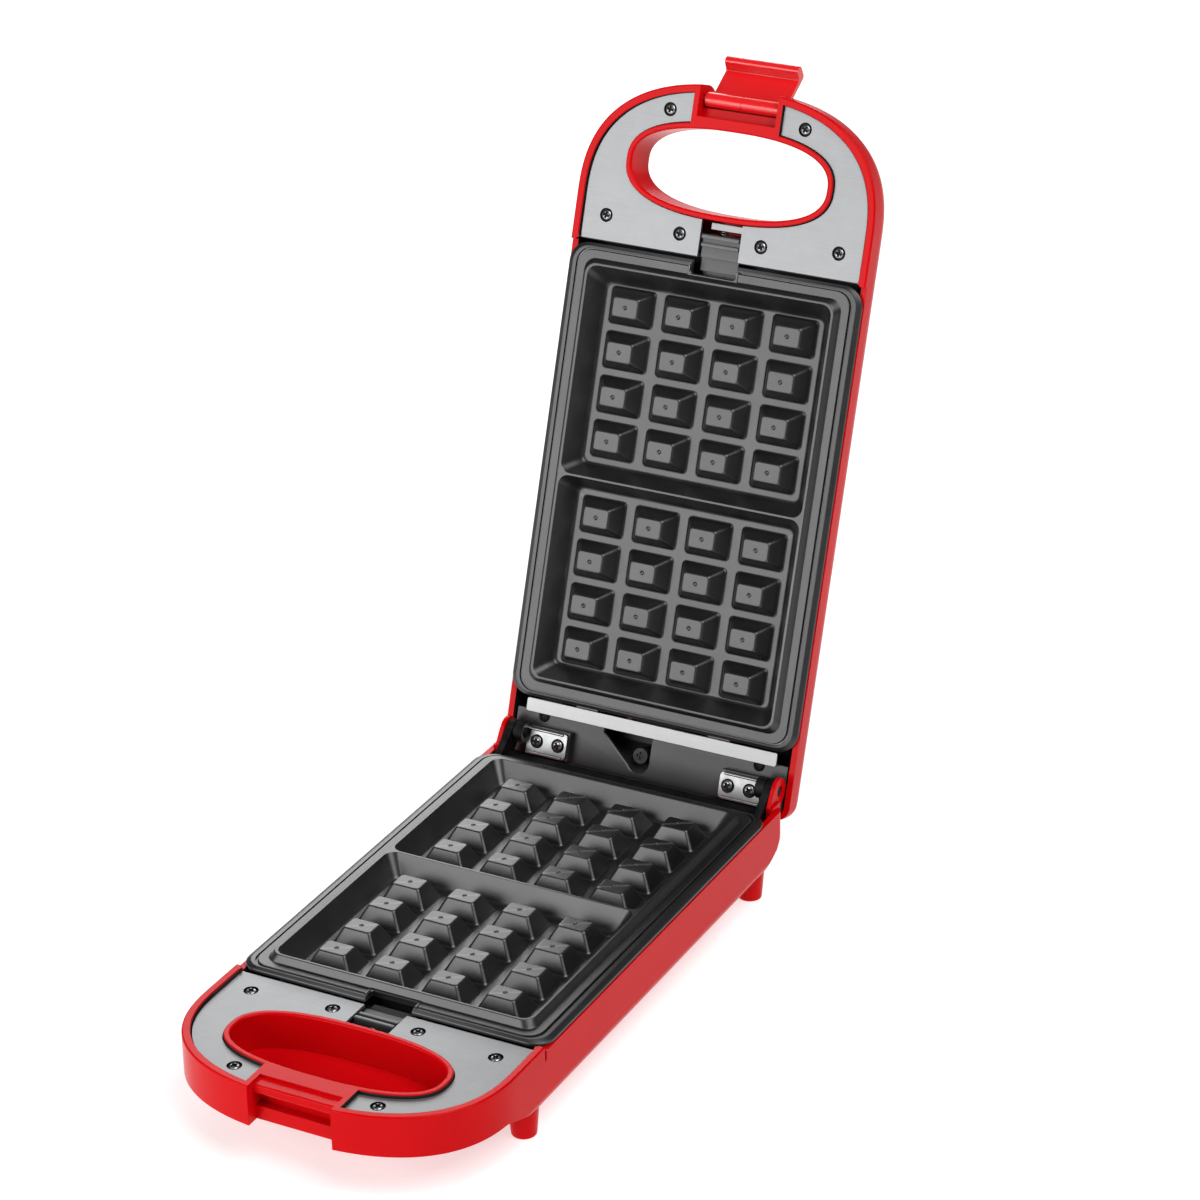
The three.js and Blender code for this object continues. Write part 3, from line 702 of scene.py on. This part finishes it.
def lid_housing():
    bosses = [common(rod("z", 3.2, -30, -8.9, x, y, sides=24), housing_body(LID, 1))
              for x, y in (*mirrored([PANEL_SCREW]), WIRE_BOSS)]
    shell = carve(housing_shell(LID), latch_recess(), block(-RECESS, RECESS, 259.5, 264, -9, 5),
                  rod("x", LATCH_BORE, -20, 20, LATCH_Y, LATCH_Z, sides=24),
                  *[rod("z", 3.6, -30, -10, x, LAMP["y"]) for x in (-LAMP["x"], LAMP["x"])])
    ledge = recess_bar([((262, -20), 0), ((265, -20), 0), ((265, -14.7), 0.5),
                        ((262, -14.7), 0)])
    x, y = WIRE_BOSS
    cross = [block(x - a, x + a, y - b, y + b, -9.6, -8) for a, b in ((1.6, 0.4), (0.4, 1.6))]
    shell = carve(fuse(shell, ledge, *bosses), *cross,
                  *[rod("z", SCREW_BORE, -14, 0, x, y, sides=16)
                    for x, y in mirrored([PANEL_SCREW])])
    tint(shell, 1, in_hollow(LID))
    return shell


settle(base_housing(), "base_shell", PLACE_BASE, [RED, HOLLOW_SHADE], "base",
       ["base_housing"])
settle(lid_housing(), "lid_shell", PLACE_LID, [RED, HOLLOW_SHADE], "lid",
       ["lid_housing"])


# ------------------------------------------------------------------ node trees for repeats
class Tree:
    """A Geometry Nodes tree with named inputs."""

    def __init__(self, name, **inputs):
        self.tree = bpy.data.node_groups.new(name, "GeometryNodeTree")
        self.tree.interface.new_socket("Geometry", in_out="INPUT",
                                       socket_type="NodeSocketGeometry")
        for label, kind in inputs.items():
            self.tree.interface.new_socket(label, in_out="INPUT", socket_type="NodeSocket" + kind)
        self.tree.interface.new_socket("Geometry", in_out="OUTPUT",
                                       socket_type="NodeSocketGeometry")
        self.entry = self.tree.nodes.new("NodeGroupInput")

    def given(self, label):
        return self.entry.outputs[label]

    def node(self, kind, settings=None, sockets=None, output=0):
        made = self.tree.nodes.new(kind)
        for setting, value in (settings or {}).items():
            setattr(made, setting, value)
        for socket, value in (sockets or {}).items():
            if isinstance(value, bpy.types.NodeSocket):
                self.tree.links.new(value, made.inputs[socket])
            else:
                made.inputs[socket].default_value = value
        return made.outputs[output]

    def close(self, geometry):
        leave = self.tree.nodes.new("NodeGroupOutput")
        self.tree.links.new(geometry, leave.inputs[0])
        return self.tree


def grow(piece, tree, **values):
    """Runs a tree on a piece, its inputs set by their identifiers."""
    modifier = piece.modifiers.new(tree.name, "NODES")
    modifier.node_group = tree
    for item in tree.interface.items_tree:
        if item.in_out == "INPUT" and item.name in values:
            modifier[item.identifier] = values[item.name]
    return evaluated(piece)


def peg_tree():
    made = Tree("waffle_pegs", Peg="Object", Columns="Int", Rows="Int", Across="Float",
                Along="Float", First="Float", Finish="Material")

    def span(count, pitch):
        gaps = made.node("ShaderNodeMath", {"operation": "SUBTRACT"},
                         {0: made.given(count), 1: 1.0})
        return made.node("ShaderNodeMath", {"operation": "MULTIPLY"},
                         {0: gaps, 1: made.given(pitch)})

    length = span("Rows", "Along")
    grid = made.node("GeometryNodeMeshGrid", None,
                     {"Size X": span("Columns", "Across"), "Size Y": length,
                      "Vertices X": made.given("Columns"), "Vertices Y": made.given("Rows")})
    half = made.node("ShaderNodeMath", {"operation": "MULTIPLY"}, {0: length, 1: 0.5})
    middle = made.node("ShaderNodeMath", {"operation": "ADD"}, {0: half, 1: made.given("First")})
    shift = made.node("ShaderNodeCombineXYZ", None, {"Y": middle})
    moved = made.node("GeometryNodeSetPosition", None, {"Geometry": grid, "Offset": shift})
    peg = made.node("GeometryNodeObjectInfo", None, {"Object": made.given("Peg")}, "Geometry")
    pegs = made.node("GeometryNodeInstanceOnPoints", None, {"Points": moved, "Instance": peg})
    pegs = made.node("GeometryNodeRealizeInstances", None, {"Geometry": pegs})
    union = made.node("GeometryNodeMeshBoolean", {"operation": "UNION", "solver": "EXACT"},
                      {"Mesh 2": made.given("Geometry")})
    made.tree.links.new(pegs, union.node.inputs["Mesh 2"])
    whole = made.node("GeometryNodeRealizeInstances", None, {"Geometry": union})
    return made.close(made.node("GeometryNodeSetMaterial", None,
                                {"Geometry": whole, "Material": made.given("Finish")}))


def screw_tree():
    made = Tree("screws", Screw="Object", Seed="Int", Finish="Material", Recess="Material")
    turn = made.node("FunctionNodeRandomValue", {"data_type": "FLOAT"},
                     {2: 0.0, 3: math.pi / 2, "Seed": made.given("Seed")}, 1)
    spin = made.node("ShaderNodeCombineXYZ", None, {"Z": turn})
    shape = made.node("GeometryNodeObjectInfo", None, {"Object": made.given("Screw")}, "Geometry")
    placed = made.node("GeometryNodeInstanceOnPoints", None,
                       {"Points": made.given("Geometry"), "Instance": shape, "Rotation": spin})
    real = made.node("GeometryNodeRealizeInstances", None, {"Geometry": placed})
    plain = made.node("GeometryNodeSetMaterial", None,
                      {"Geometry": real, "Material": made.given("Finish")})
    # faces marked recess get the Recess material, painted shade in the cross
    recess = made.node("GeometryNodeInputNamedAttribute", {"data_type": "BOOLEAN"},
                       {"Name": "recess"})
    return made.close(made.node("GeometryNodeSetMaterial", None,
                                {"Geometry": plain, "Selection": recess,
                                 "Material": made.given("Recess")}))


def coil_tree():
    made = Tree("coil_spring", Turns="Float", Radius="Float", Length="Float", Wire="Float",
                Finish="Material")
    line = made.node("GeometryNodeCurveSpiral", None,
                     {"Resolution": 28, "Rotations": made.given("Turns"),
                      "Start Radius": made.given("Radius"), "End Radius": made.given("Radius"),
                      "Height": made.given("Length")})
    wire = made.node("GeometryNodeCurvePrimitiveCircle", None,
                     {"Resolution": 10, "Radius": made.given("Wire")})
    spring = made.node("GeometryNodeCurveToMesh", None,
                       {"Curve": line, "Profile Curve": wire, "Fill Caps": True})
    real = made.node("GeometryNodeRealizeInstances", None, {"Geometry": spring})
    return made.close(made.node("GeometryNodeSetMaterial", None,
                                {"Geometry": real, "Material": made.given("Finish")}))


PEGS = peg_tree()
SCREWS = screw_tree()
COIL = coil_tree()


# ------------------------------------------------------------------ cooking plates
def ring_levels(keys):
    """Rounded rectangles (half width, y0, y1, corner, z), eased where the key says."""
    return [(rounded_box(-half, half, y0, y1, corner, 6), z)
            for half, y0, y1, corner, z in eased(keys)]


def waffle_peg():
    """A peg with a flared foot, rounded edges and a small dimple in its top."""
    keys = [((11.2, 8.9, 2.4, -9.6), 0), ((10.6, 8.3, 2.2, -9.02), 0),
            ((9.7, 7.4, 1.6, -8.9), 0.9), ((5.75, 4.0, 1.2, -1.86), 0.75),
            ((4.7, 2.95, 1.0, -1.86), 0), ((0.95, 0.95, 0.94, -1.86), 0.12),
            ((0.55, 0.55, 0.54, -2.2), 0.1), ((0.06, 0.06, 0.05, -2.3), 0)]
    return loft([(rounded_box(-half_x, half_x, -half_y, half_y, corner), z)
                 for half_x, half_y, corner, z in eased(keys)])


def waffle_plate(half, peg):
    body = loft(ring_levels([
        ((54.5, 23.6, 194.6, 5, -12), 0), ((56.6, 21.7, 196.6, 5, -5.4), 0.2),
        ((64.9, 14.8, 202.8, 8, -5.4), 0.35), ((64.9, 14.8, 202.8, 8, -4.2), 0.5),
        ((62.9, 16.1, 201.7, 7.1, -3.3), 0.35), ((61.2, 16.9, 200.9, 6.5, -3.2), 0.15),
        ((61.05, 17.0, 200.8, 6.4, -3.9), 0.08), ((60.45, 17.5, 200.35, 6.3, -3.9), 0.08),
        ((60.2, 17.7, 200.15, 6.2, -2.85), 0.2), ((56.9, 21.4, 196.9, 5, -2.85), 0.35),
        ((55.2, 23.1, 195.3, 4.6, PLATE_TOP), 0.45), ((50, 28, 190, 4, PLATE_TOP), 0)]))
    notch = [(rounded_box(-10, 10, 197.4, 212, 1.2, 4), z) for z in (-20, -3.3)]
    notch += [(rounded_box(-10.3, 10.3, 197.1, 212, 1.5, 4), z) for z in (-3.0, 5)]
    pockets = []
    for top0, top1, floor0, floor1 in ((24.1, DIVIDER - 0.45, 29.5, DIVIDER - 5),
                                       (DIVIDER + 0.45, 194.3, DIVIDER + 5, 188)):
        pockets.append(loft(ring_levels([
            ((44, floor0 + 5, floor1 - 5, 1, PLATE_FLOOR), 0),
            ((48.8, floor0, floor1, 3, PLATE_FLOOR), 1.8),
            ((54, top0, top1, 4.2, PLATE_TOP), 0.4),
            ((54.4, top0 - 0.3, top1 + 0.3, 4.6, PLATE_TOP + 0.08), 0),
            ((54.42, top0 - 0.32, top1 + 0.32, 4.62, 5), 0)])))
    bead = carve(block(-11.1, 11.1, 196.4, 200.9, -4.5, -2.55, 0.3), loft(notch))
    body = carve(body, loft(notch), *pockets)
    tabs = [block(x - 5, x + 5, 11.5, 23, -7.9, -6.4, 0.2) for x in (-30, 30)]
    body = fuse(body, bead, block(-8, 8, 194, 200.6, -11.6, -10.1, 0.2), *tabs)
    for first in FIRST_ROWS:
        grow(body, PEGS, Peg=peg, Columns=PEG_COLUMNS, Rows=PEG_ROWS, Across=PITCH_X,
             Along=PITCH_Y, First=first, Finish=NONSTICK)
    name = half["name"]
    return settle(body, f"{name}_waffle_plate", half["place"], [NONSTICK], name,
                  [f"{name}_plate"])


peg_shape = waffle_peg()
for half in (BASE, LID):
    waffle_plate(half, peg_shape)
bpy.data.objects.remove(peg_shape)


# ------------------------------------------------------------------ trims and screws
def trim_outline(inset):
    a, b = 61.65 - inset, 47.65 - inset
    rear = 204.4 + inset
    return [(-a, rear), (a, rear)] + oval(a, b, FRONT, 0, math.pi, 80)


def trim_plate(half, world_sign):
    sign = world_sign * half["side"]
    under = TRIM_TOP - TRIM_THICK
    plate = loft([(trim_outline(0), under), (trim_outline(0), TRIM_TOP - 0.18),
                  (trim_outline(0.06), TRIM_TOP - 0.05), (trim_outline(0.18), TRIM_TOP)])
    a, b = HOLE["a"] + HOLE["wall"] + GAP, HOLE["b"] + HOLE["wall"] + GAP
    hole = loft([(full_oval(a, b, HOLE["y"]), -20), (full_oval(a, b, HOLE["y"]), TRIM_TOP - 0.18),
                 (full_oval(a + 0.18, b + 0.18, HOLE["y"]), TRIM_TOP + 0.01),
                 (full_oval(a + 0.2, b + 0.2, HOLE["y"]), 5)])
    slot = sorted((-WIDE * sign, 9.0 * sign))
    tip = sorted((-WIDE * sign, 19.8 * sign))
    tools = [hole, block(*slot, 190, HOLE["y"], -20, 5), block(*tip, HOLE["y"], BEYOND, -20, 5)]
    countersink = [(-0.7, 2.72), (-0.12, 2.72), (0.0, 2.85), (1.0, 2.9)]
    for x, y in TRIM_SCREWS:
        tools.append(rod("z", TRIM_BORE, under - 1, TRIM_TOP + 1, x * sign, y, sides=24))
        tools.append(skin([circle(x * sign, y, r, TRIM_TOP + z, 48) for z, r in countersink]))
    plate = carve(plate, *tools)
    name = half["name"]
    if name == "lid" and world_sign > 0:
        plate = fuse(plate, block(-4.5, 9.5, 216, 218.6, under, TRIM_TOP, 0.15))

    # The countersink faces round each screw get painted shade: a dark ring where the shadow gap
    # under the head would fall.
    def in_countersink(centre, normal):
        near = min((Vector((centre.x - x * sign, centre.y - y)).length for x, y in TRIM_SCREWS))
        return near < 2.84 and centre.z < TRIM_TOP - 0.04

    tint(plate, 1, in_countersink)
    label = "left" if world_sign < 0 else "right"
    return settle(plate, f"{name}_handle_trim_{label}", half["place"], [BRUSHED, DARK_STEEL_AND_SHADE], name,
                  [f"{name}_trim_{label}"])


def screw_shape(radius, height, shank):
    """A domed head with a cross recess on a plain shank, its seat on z = 0."""
    line = [(0.0, radius * 0.94), (0.12, radius), (0.35 * height, radius)]
    line += [(height * (0.35 + 0.65 * math.sin(t)), radius * (0.3 + 0.7 * math.cos(t)))
             for t in quarter_turn(6)[1:]]
    head = skin([circle(0, 0, r, z, 40) for z, r in line])
    arm, width = radius * 0.68, radius * 0.27
    cross = [block(-arm, arm, -width, width, height - 0.5, height + 1),
             block(-width, width, -arm, arm, height - 0.5, height + 1),
             rod("z", width * 1.7, height - 0.62, height + 1, 0, 0, sides=16)]
    head = carve(head, *cross)

    # The cross recess faces are marked for painted shade, which the screws' Recess material gives
    # them.
    def in_recess(centre, normal):
        reach = math.hypot(centre.x, centre.y)
        bottom = normal.z > 0.95 and centre.z < height - 0.3
        side = abs(normal.z) < 0.05 and centre.z > 0.4 * height and reach < arm * 0.995
        return reach < arm + 0.02 and (bottom or side)

    tint(head, 1, in_recess)
    marked = head.data.attributes.new("recess", "BOOLEAN", "FACE")
    marked.data.foreach_set("value", [f.material_index == 1 for f in head.data.polygons])
    body = fuse(head, rod("z", 1.1, -shank, 0.15, 0, 0, ease=0.3, sides=20))
    return smooth(body, 35)


def drive_screws(name, half, shape, places, z, nodes, seed, finish=SCREW):
    points = bpy.data.meshes.new(name)
    points.from_pydata([(x, y, z) for x, y in places], [], [])
    piece = new_piece(points, name)
    grow(piece, SCREWS, Screw=shape, Seed=seed, Finish=finish, Recess=DARK_STEEL_AND_SHADE)
    piece.data.transform(half["place"])
    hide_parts(*nodes)
    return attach(piece, half["name"])


trim_screw = screw_shape(2.0, 0.9, 6.0)
leaf_screw = screw_shape(2.2, 0.9, 6.0)
panel_screw = screw_shape(2.4, 0.7, 4.5)
for half in (BASE, LID):
    name = half["name"]
    for world_sign in (-1, 1):
        trim_plate(half, world_sign)
    drive_screws(f"{name}_trim_screws", half, trim_screw, mirrored(TRIM_SCREWS), TRIM_TOP - 0.68,
                 [f"{name}_trim_screw_{label}_{i}" for label in ("left", "right")
                  for i in (1, 2, 3)], 3)
drive_screws("lid_leaf_screws", LID, leaf_screw, mirrored(LEAF_SCREWS), -1.98,
             [f"lid_hinge_screw_{label}_{i}" for label in ("left", "right") for i in (1, 2)], 8)
drive_screws("lid_panel_screws", LID, panel_screw, mirrored([PANEL_SCREW]), -6.98,
             ["panel_screw_left", "panel_screw_right"], 5, DARK_STEEL_AND_SHADE)
drive_screws("base_arm_screws", BASE, trim_screw, mirrored([ARM_SCREW]), -11.98,
             ["base_hinge_screw_left", "base_hinge_screw_right"], 6)
for shape in (trim_screw, leaf_screw, panel_screw):
    bpy.data.objects.remove(shape)


# ------------------------------------------------------------------ latch and catches
def latch():
    """The latch plate, its barrel and hook, drawn clipped and then turned open."""
    keys = [((2.4, 0.0), 0), ((2.4, -18.3), 0.6), ((-1.8, -19.0), 0.6), ((-2.6, -20.1), 0.6),
            ((-2.3, -21.9), 0.7), ((-1.3, -22.7), 0.6), ((3.8, -22.7), 0.7), ((4.6, -21.7), 0.6),
            ((4.6, 0.0), 0)]
    outline = [(p.x, -p.y) for p in eased(keys, 3)]
    plate = across(outline, -LATCH_HALF, LATCH_HALF, 0.35)
    barrel = rod("x", 3.0, -LATCH_HALF, LATCH_HALF, 0, 0, ease=0.35)
    groove = carve(rod("x", 3.4, -0.35, 0.35, 0, 0), rod("x", 2.8, -1, 1, 0, 0))
    body = fuse(plate, barrel, block(-LATCH_HALF, LATCH_HALF, 0.5, 4.6, 0, 2, 0.2))
    body = carve(body, groove, rod("x", LATCH_BORE, -17.2, 17.2, 0, 0, sides=32))
    return settle(body, "latch_plate", PLACE_LATCH, [LATCH_RED], "latch", ["latch"])


def release_catch(half):
    """The dark catch with its ridged thumb end."""
    body = fuse(block(-CATCH_HALF, CATCH_HALF, 204.3, 213.6, -9.6, -6.6, 0.3),
                block(-CATCH_HALF, CATCH_HALF, 211.9, 213.6, -7.4, -5.0, 0.35),
                block(-CATCH_HALF, CATCH_HALF, 208.6, 210.2, -7.4, -5.4, 0.35),
                block(-CATCH_HALF, CATCH_HALF, 198.8, 205.2, -9.6, -8.0, 0.25),
                block(-2.5, 2.5, 206, 212, -11.4, -9.0, 0.2))
    name = half["name"]
    return settle(body, f"{name}_catch", half["place"], [CATCH], f"{name}_release",
                  [f"{name}_release_catch"])


def catch_guide(half):
    body = carve(block(-11, 11, 206.2, 213.9, -14.5, -10, 0.25),
                 block(-2.9, 2.9, 200, 220, -11.8, -5), block(-8, 8, 200, 220, -13, -12.3))
    name = half["name"]
    return settle(body, f"{name}_guide", half["place"], [BLACK], name,
                  [f"{name}_catch_guide"])


def catch_spring(half):
    piece = new_piece(bpy.data.meshes.new("spring"))
    grow(piece, COIL, Turns=4.5, Radius=1.5, Length=4.4, Wire=0.24, Finish=STEEL)
    along_y = Matrix.Rotation(-math.pi / 2, 4, "X")
    piece.data.transform(Matrix.Translation((0, 214.2, -8.6)) @ along_y)
    name = half["name"]
    return settle(piece, f"{name}_spring", half["place"], [STEEL], name,
                  [f"{name}_catch_spring"], sharp=60)


latch()
for half in (BASE, LID):
    release_catch(half)
    catch_guide(half)
    catch_spring(half)
settle(rod("x", LATCH_PIN, -19.1, 19.1, LATCH_Y, LATCH_Z, ease=0.25), "latch_axle", PLACE_LID,
       [STEEL], "lid", ["latch_pin"])


# ------------------------------------------------------------------ hinge
def hinge_panel():
    """The black panel between the halves, with its wire opening and leaf recesses."""
    sheet = across([(-9.8, -7), (-8.2, -8.6), (8.9, -8.6), (8.9, -7)], -61.6, 61.6, 0.25)
    pads = [block(*sorted((34.5 * s, 52.6 * s)), -8.9, 3, -7.4, -3.5, 0.2) for s in (-1, 1)]
    opening = (arc(-4.4, -2.6, 5, -2.6, 0.1, 20) + [(0.6, 20), (-21, 20), (-21, 6)])
    wide = (arc(-4.4, -2.6, 5.4, -2.6, 0.1, 20) + [(1.0, 20), (-21.4, 20), (-21.4, 5.8)])
    well = loft([(opening, -20), (opening, -7.4), (wide, -6.98), (wide, 0)])
    holes = [rod("z", SCREW_BORE, -12, 0, x, y, sides=24) for x, y in mirrored([PANEL_SCREW])]
    holes += [rod("z", SCREW_BORE, -12, 0, x * s, y, sides=24)
              for s in (-1, 1) for x, y in LEAF_SCREWS]
    body = carve(fuse(sheet, *pads), well, *holes)
    return settle(body, "hinge_cover_panel", PLACE_LID, [BLACK], "lid",
                  ["hinge_panel"])


def lid_leaf(sign, label):
    """A steel leaf with rolled edges and a knuckle round the pin."""
    x0, x1 = sorted((34.8 * sign, 53.2 * sign))
    k0, k1 = sorted((53.0 * sign, 57.0 * sign))
    r0, r1 = sorted((36.6 * sign, 53.1 * sign))
    h0, h1 = sorted((45.0 * sign, 53.2 * sign))
    sheet = loft([(rounded_box(x0 + w, x1 - w, -8.5 + w, 2.5 - w, 2.0 - w, 5), z)
                  for z, w in ((-3.2, 0.12), (-3.08, 0), (-2.15, 0), (-2.0, 0.15))])
    leaf = fuse(sheet, block(h0, h1, -8.5, 2.5, -3.2, -2.0, 0.15),
                rod("x", 0.62, r0, r1, -7.87, -1.95, ease=0.3, sides=20),
                rod("x", 0.62, r0, r1, 1.87, -1.95, ease=0.3, sides=20),
                rod("x", KNUCKLE, k0, k1, 0, 0, ease=0.3))
    grooves = [carve(rod("z", 2.95, -2.4, 0, x * sign, y), rod("z", 2.2, -3, 1, x * sign, y))
               for x, y in LEAF_SCREWS]
    body = carve(leaf, rod("x", BORE, k0 - 2, k1 + 1, 0, 0), *grooves,
                 *[rod("z", SCREW_BORE, -12, 0, x * sign, y, sides=24) for x, y in LEAF_SCREWS])

    # The knuckle and the grooves round the screws are painted dark as shade.
    def shadowed(centre, normal):
        knuckle = abs(centre.x) > 53.0
        near = min((centre.xy - Vector((x * sign, y))).length for x, y in LEAF_SCREWS)
        return knuckle or (-2.9 < centre.z < -2.03 and near < 2.97)

    tint(body, 1, shadowed)
    return settle(body, f"lid_leaf_{label}", PLACE_LID, [STEEL, DARK_STEEL_AND_SHADE], "lid",
                  [f"lid_hinge_leaf_{label}"])


def base_arm(sign, label):
    """A steel arm fixed in the base that holds the pin's outer end."""
    x0, x1 = sorted((57.3 * sign, 60.3 * sign))
    f0, f1 = sorted((50.0 * sign, 60.3 * sign))
    arm = fuse(rod("x", KNUCKLE, x0, x1, 0, 0, ease=0.25),
               across([(-2.9, -3.4), (4.6, -9.9), (6.4, -13.2), (14.5, -13.2), (14.5, -5.5),
                       (3.6, 2.7)], x0, x1, 0.12),
               block(f0, f1, 6.4, 14.5, -13.2, -12.0, 0.12))
    body = carve(arm, rod("x", BORE, x0 - 1, x1 + 1, 0, 0),
                 rod("z", SCREW_BORE, -16, 0, ARM_SCREW[0] * sign, ARM_SCREW[1], sides=24))
    return settle(body, f"base_arm_{label}", PLACE_BASE, [DARK_STEEL_AND_SHADE], "base",
                  [f"base_hinge_arm_{label}"])


def plate_strip(half):
    """The strip over the plate's rear tabs, bright in the lid and blackened in the base."""
    body = loft([(rounded_box(-56.9 + w, 56.9 - w, 8.2 + w, 13.8 - w, 0.8, 4), z)
                 for z, w in ((-6.0, 0.1), (-5.9, 0.0), (-5.3, 0.0), (-5.2, 0.1))])
    name = half["name"]
    finish, slot = (DARK_STEEL_AND_SHADE, "black_steel") if half is BASE else (BRIGHT, "bright_sheet")
    return settle(body, f"{name}_plate_strip", half["place"], [finish], name,
                  [f"{name}_plate_retainer"])


hinge_panel()
for world_sign, label in ((-1, "left"), (1, "right")):
    lid_leaf(world_sign, label)
    base_arm(-world_sign, label)
    ends = sorted((-52.2 * world_sign, -62.2 * world_sign))
    settle(rod("x", PIN, *ends, 0, 0, ease=0.5), f"hinge_axle_{label}", PLACE_BASE, [DARK_STEEL_AND_SHADE],
           "base", [f"hinge_pin_{label}"])
for half in (BASE, LID):
    plate_strip(half)


# ------------------------------------------------------------------ gland, cover and lamps
def cord_gland():
    """The flanged ring that the cord would leave through."""
    outer = rod("y", 4.0, 1.8, 20, 0, GLAND_Z, ease=0.4)
    return settle(carve(outer, rod("y", 2.6, 0, 24, 0, GLAND_Z)), "gland", PLACE_BASE, [BLACK],
                  "base", ["cord_gland"])


def lamp(x, name, finish):
    """A domed lens set in the lid's outer face."""
    line = [(3.2, -12.0), (3.2, -20.4), (3.0, -20.8), (2.3, -21.1), (1.2, -21.2), (0.2, -21.2)]
    body = skin([circle(x, LAMP["y"], r, z, 48) for r, z in line])
    return settle(body, f"{name}_lens", PLACE_LID, [finish], "lid", [name], sharp=50)


cord_gland()
lamp(-LAMP["x"], "power_lamp", RED_LENS)
lamp(LAMP["x"], "ready_lamp", GREEN_LENS)

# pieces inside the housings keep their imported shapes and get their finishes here
INSIDE = {
    "base_rear_cover": BLACK, "base_thermostat": STEEL, "base_thermal_fuse": STEEL,
    "base_terminal_block": PORCELAIN, "base_harness": SLEEVE, "lid_harness": SLEEVE,
    "lid_thermostat": STEEL, "base_reflector": BRIGHT, "lid_reflector": BRIGHT,
    "base_heating_element": ELEMENT, "lid_heating_element": ELEMENT,
}
for node, finish in INSIDE.items():
    materials = frame["nodes"][node].data.materials
    materials.clear()
    materials.append(finish)


# ------------------------------------------------------------------ floor, light and camera
def floor():
    bpy.ops.mesh.primitive_plane_add(size=40)
    plane = bpy.context.object
    plane.name = "floor"
    made = Finish("pale_floor", Roughness=0.75, Emission_Color=(1, 1, 1, 1),
                  Emission_Strength=0.6, Specular_IOR_Level=0.1)
    made.colour(made.blend(made.noise(8, 2), (0.55, 0.55, 0.55), (0.57, 0.57, 0.57)))
    plane.data.materials.append(made.material)


def area_light(name, place, aim, size, watts):
    data = bpy.data.lights.new(name, "AREA")
    data.shape = "RECTANGLE"
    data.size, data.size_y = size
    data.energy = watts
    lamp_object = bpy.data.objects.new(name, data)
    bpy.context.scene.collection.objects.link(lamp_object)
    lamp_object.location = place
    turn = (Vector(aim) - Vector(place)).to_track_quat("-Z", "Y")
    lamp_object.rotation_mode = "QUATERNION"
    lamp_object.rotation_quaternion = turn


def world(strength):
    made = bpy.data.worlds.new("studio")
    made.use_nodes = True
    background = made.node_tree.nodes["Background"]
    background.inputs["Color"].default_value = (1, 1, 1, 1)
    background.inputs["Strength"].default_value = strength
    bpy.context.scene.world = made


def camera(place, azimuth, elevation, roll, lens_mm):
    data = bpy.data.cameras.new("camera")
    data.sensor_width = 36.0
    data.lens = lens_mm
    eye = bpy.data.objects.new("camera", data)
    bpy.context.scene.collection.objects.link(eye)
    a, e, r = (math.radians(value) for value in (azimuth, elevation, roll))
    back = Vector((math.sin(a) * math.cos(e), -math.cos(a) * math.cos(e), math.sin(e)))
    right = Vector((math.cos(a), math.sin(a), 0))
    up = back.cross(right)
    across_view = math.cos(r) * right + math.sin(r) * up
    up_view = -math.sin(r) * right + math.cos(r) * up
    turn = Matrix((across_view, up_view, back)).transposed().to_4x4()
    eye.matrix_world = Matrix.Translation(place) @ turn
    bpy.context.scene.camera = eye


floor()
world(0.12)
area_light("lid_softbox", (-0.6, -1.1, 0.45), (0, 0.12, 0.17), (0.9, 0.8), 11)
area_light("base_softbox", (-0.65, 1.05, 0.7), (0, -0.1, 0.03), (1.0, 0.7), 10)
area_light("overhead", (0.85, -0.35, 1.55), (0, -0.03, 0.1), (1.2, 1.2), 27)
camera(place=(0.6416, -1.1613, 0.7880), azimuth=28.02, elevation=25.89, roll=-0.98, lens_mm=116.9)
bpy.context.scene.view_settings.view_transform = "Standard"
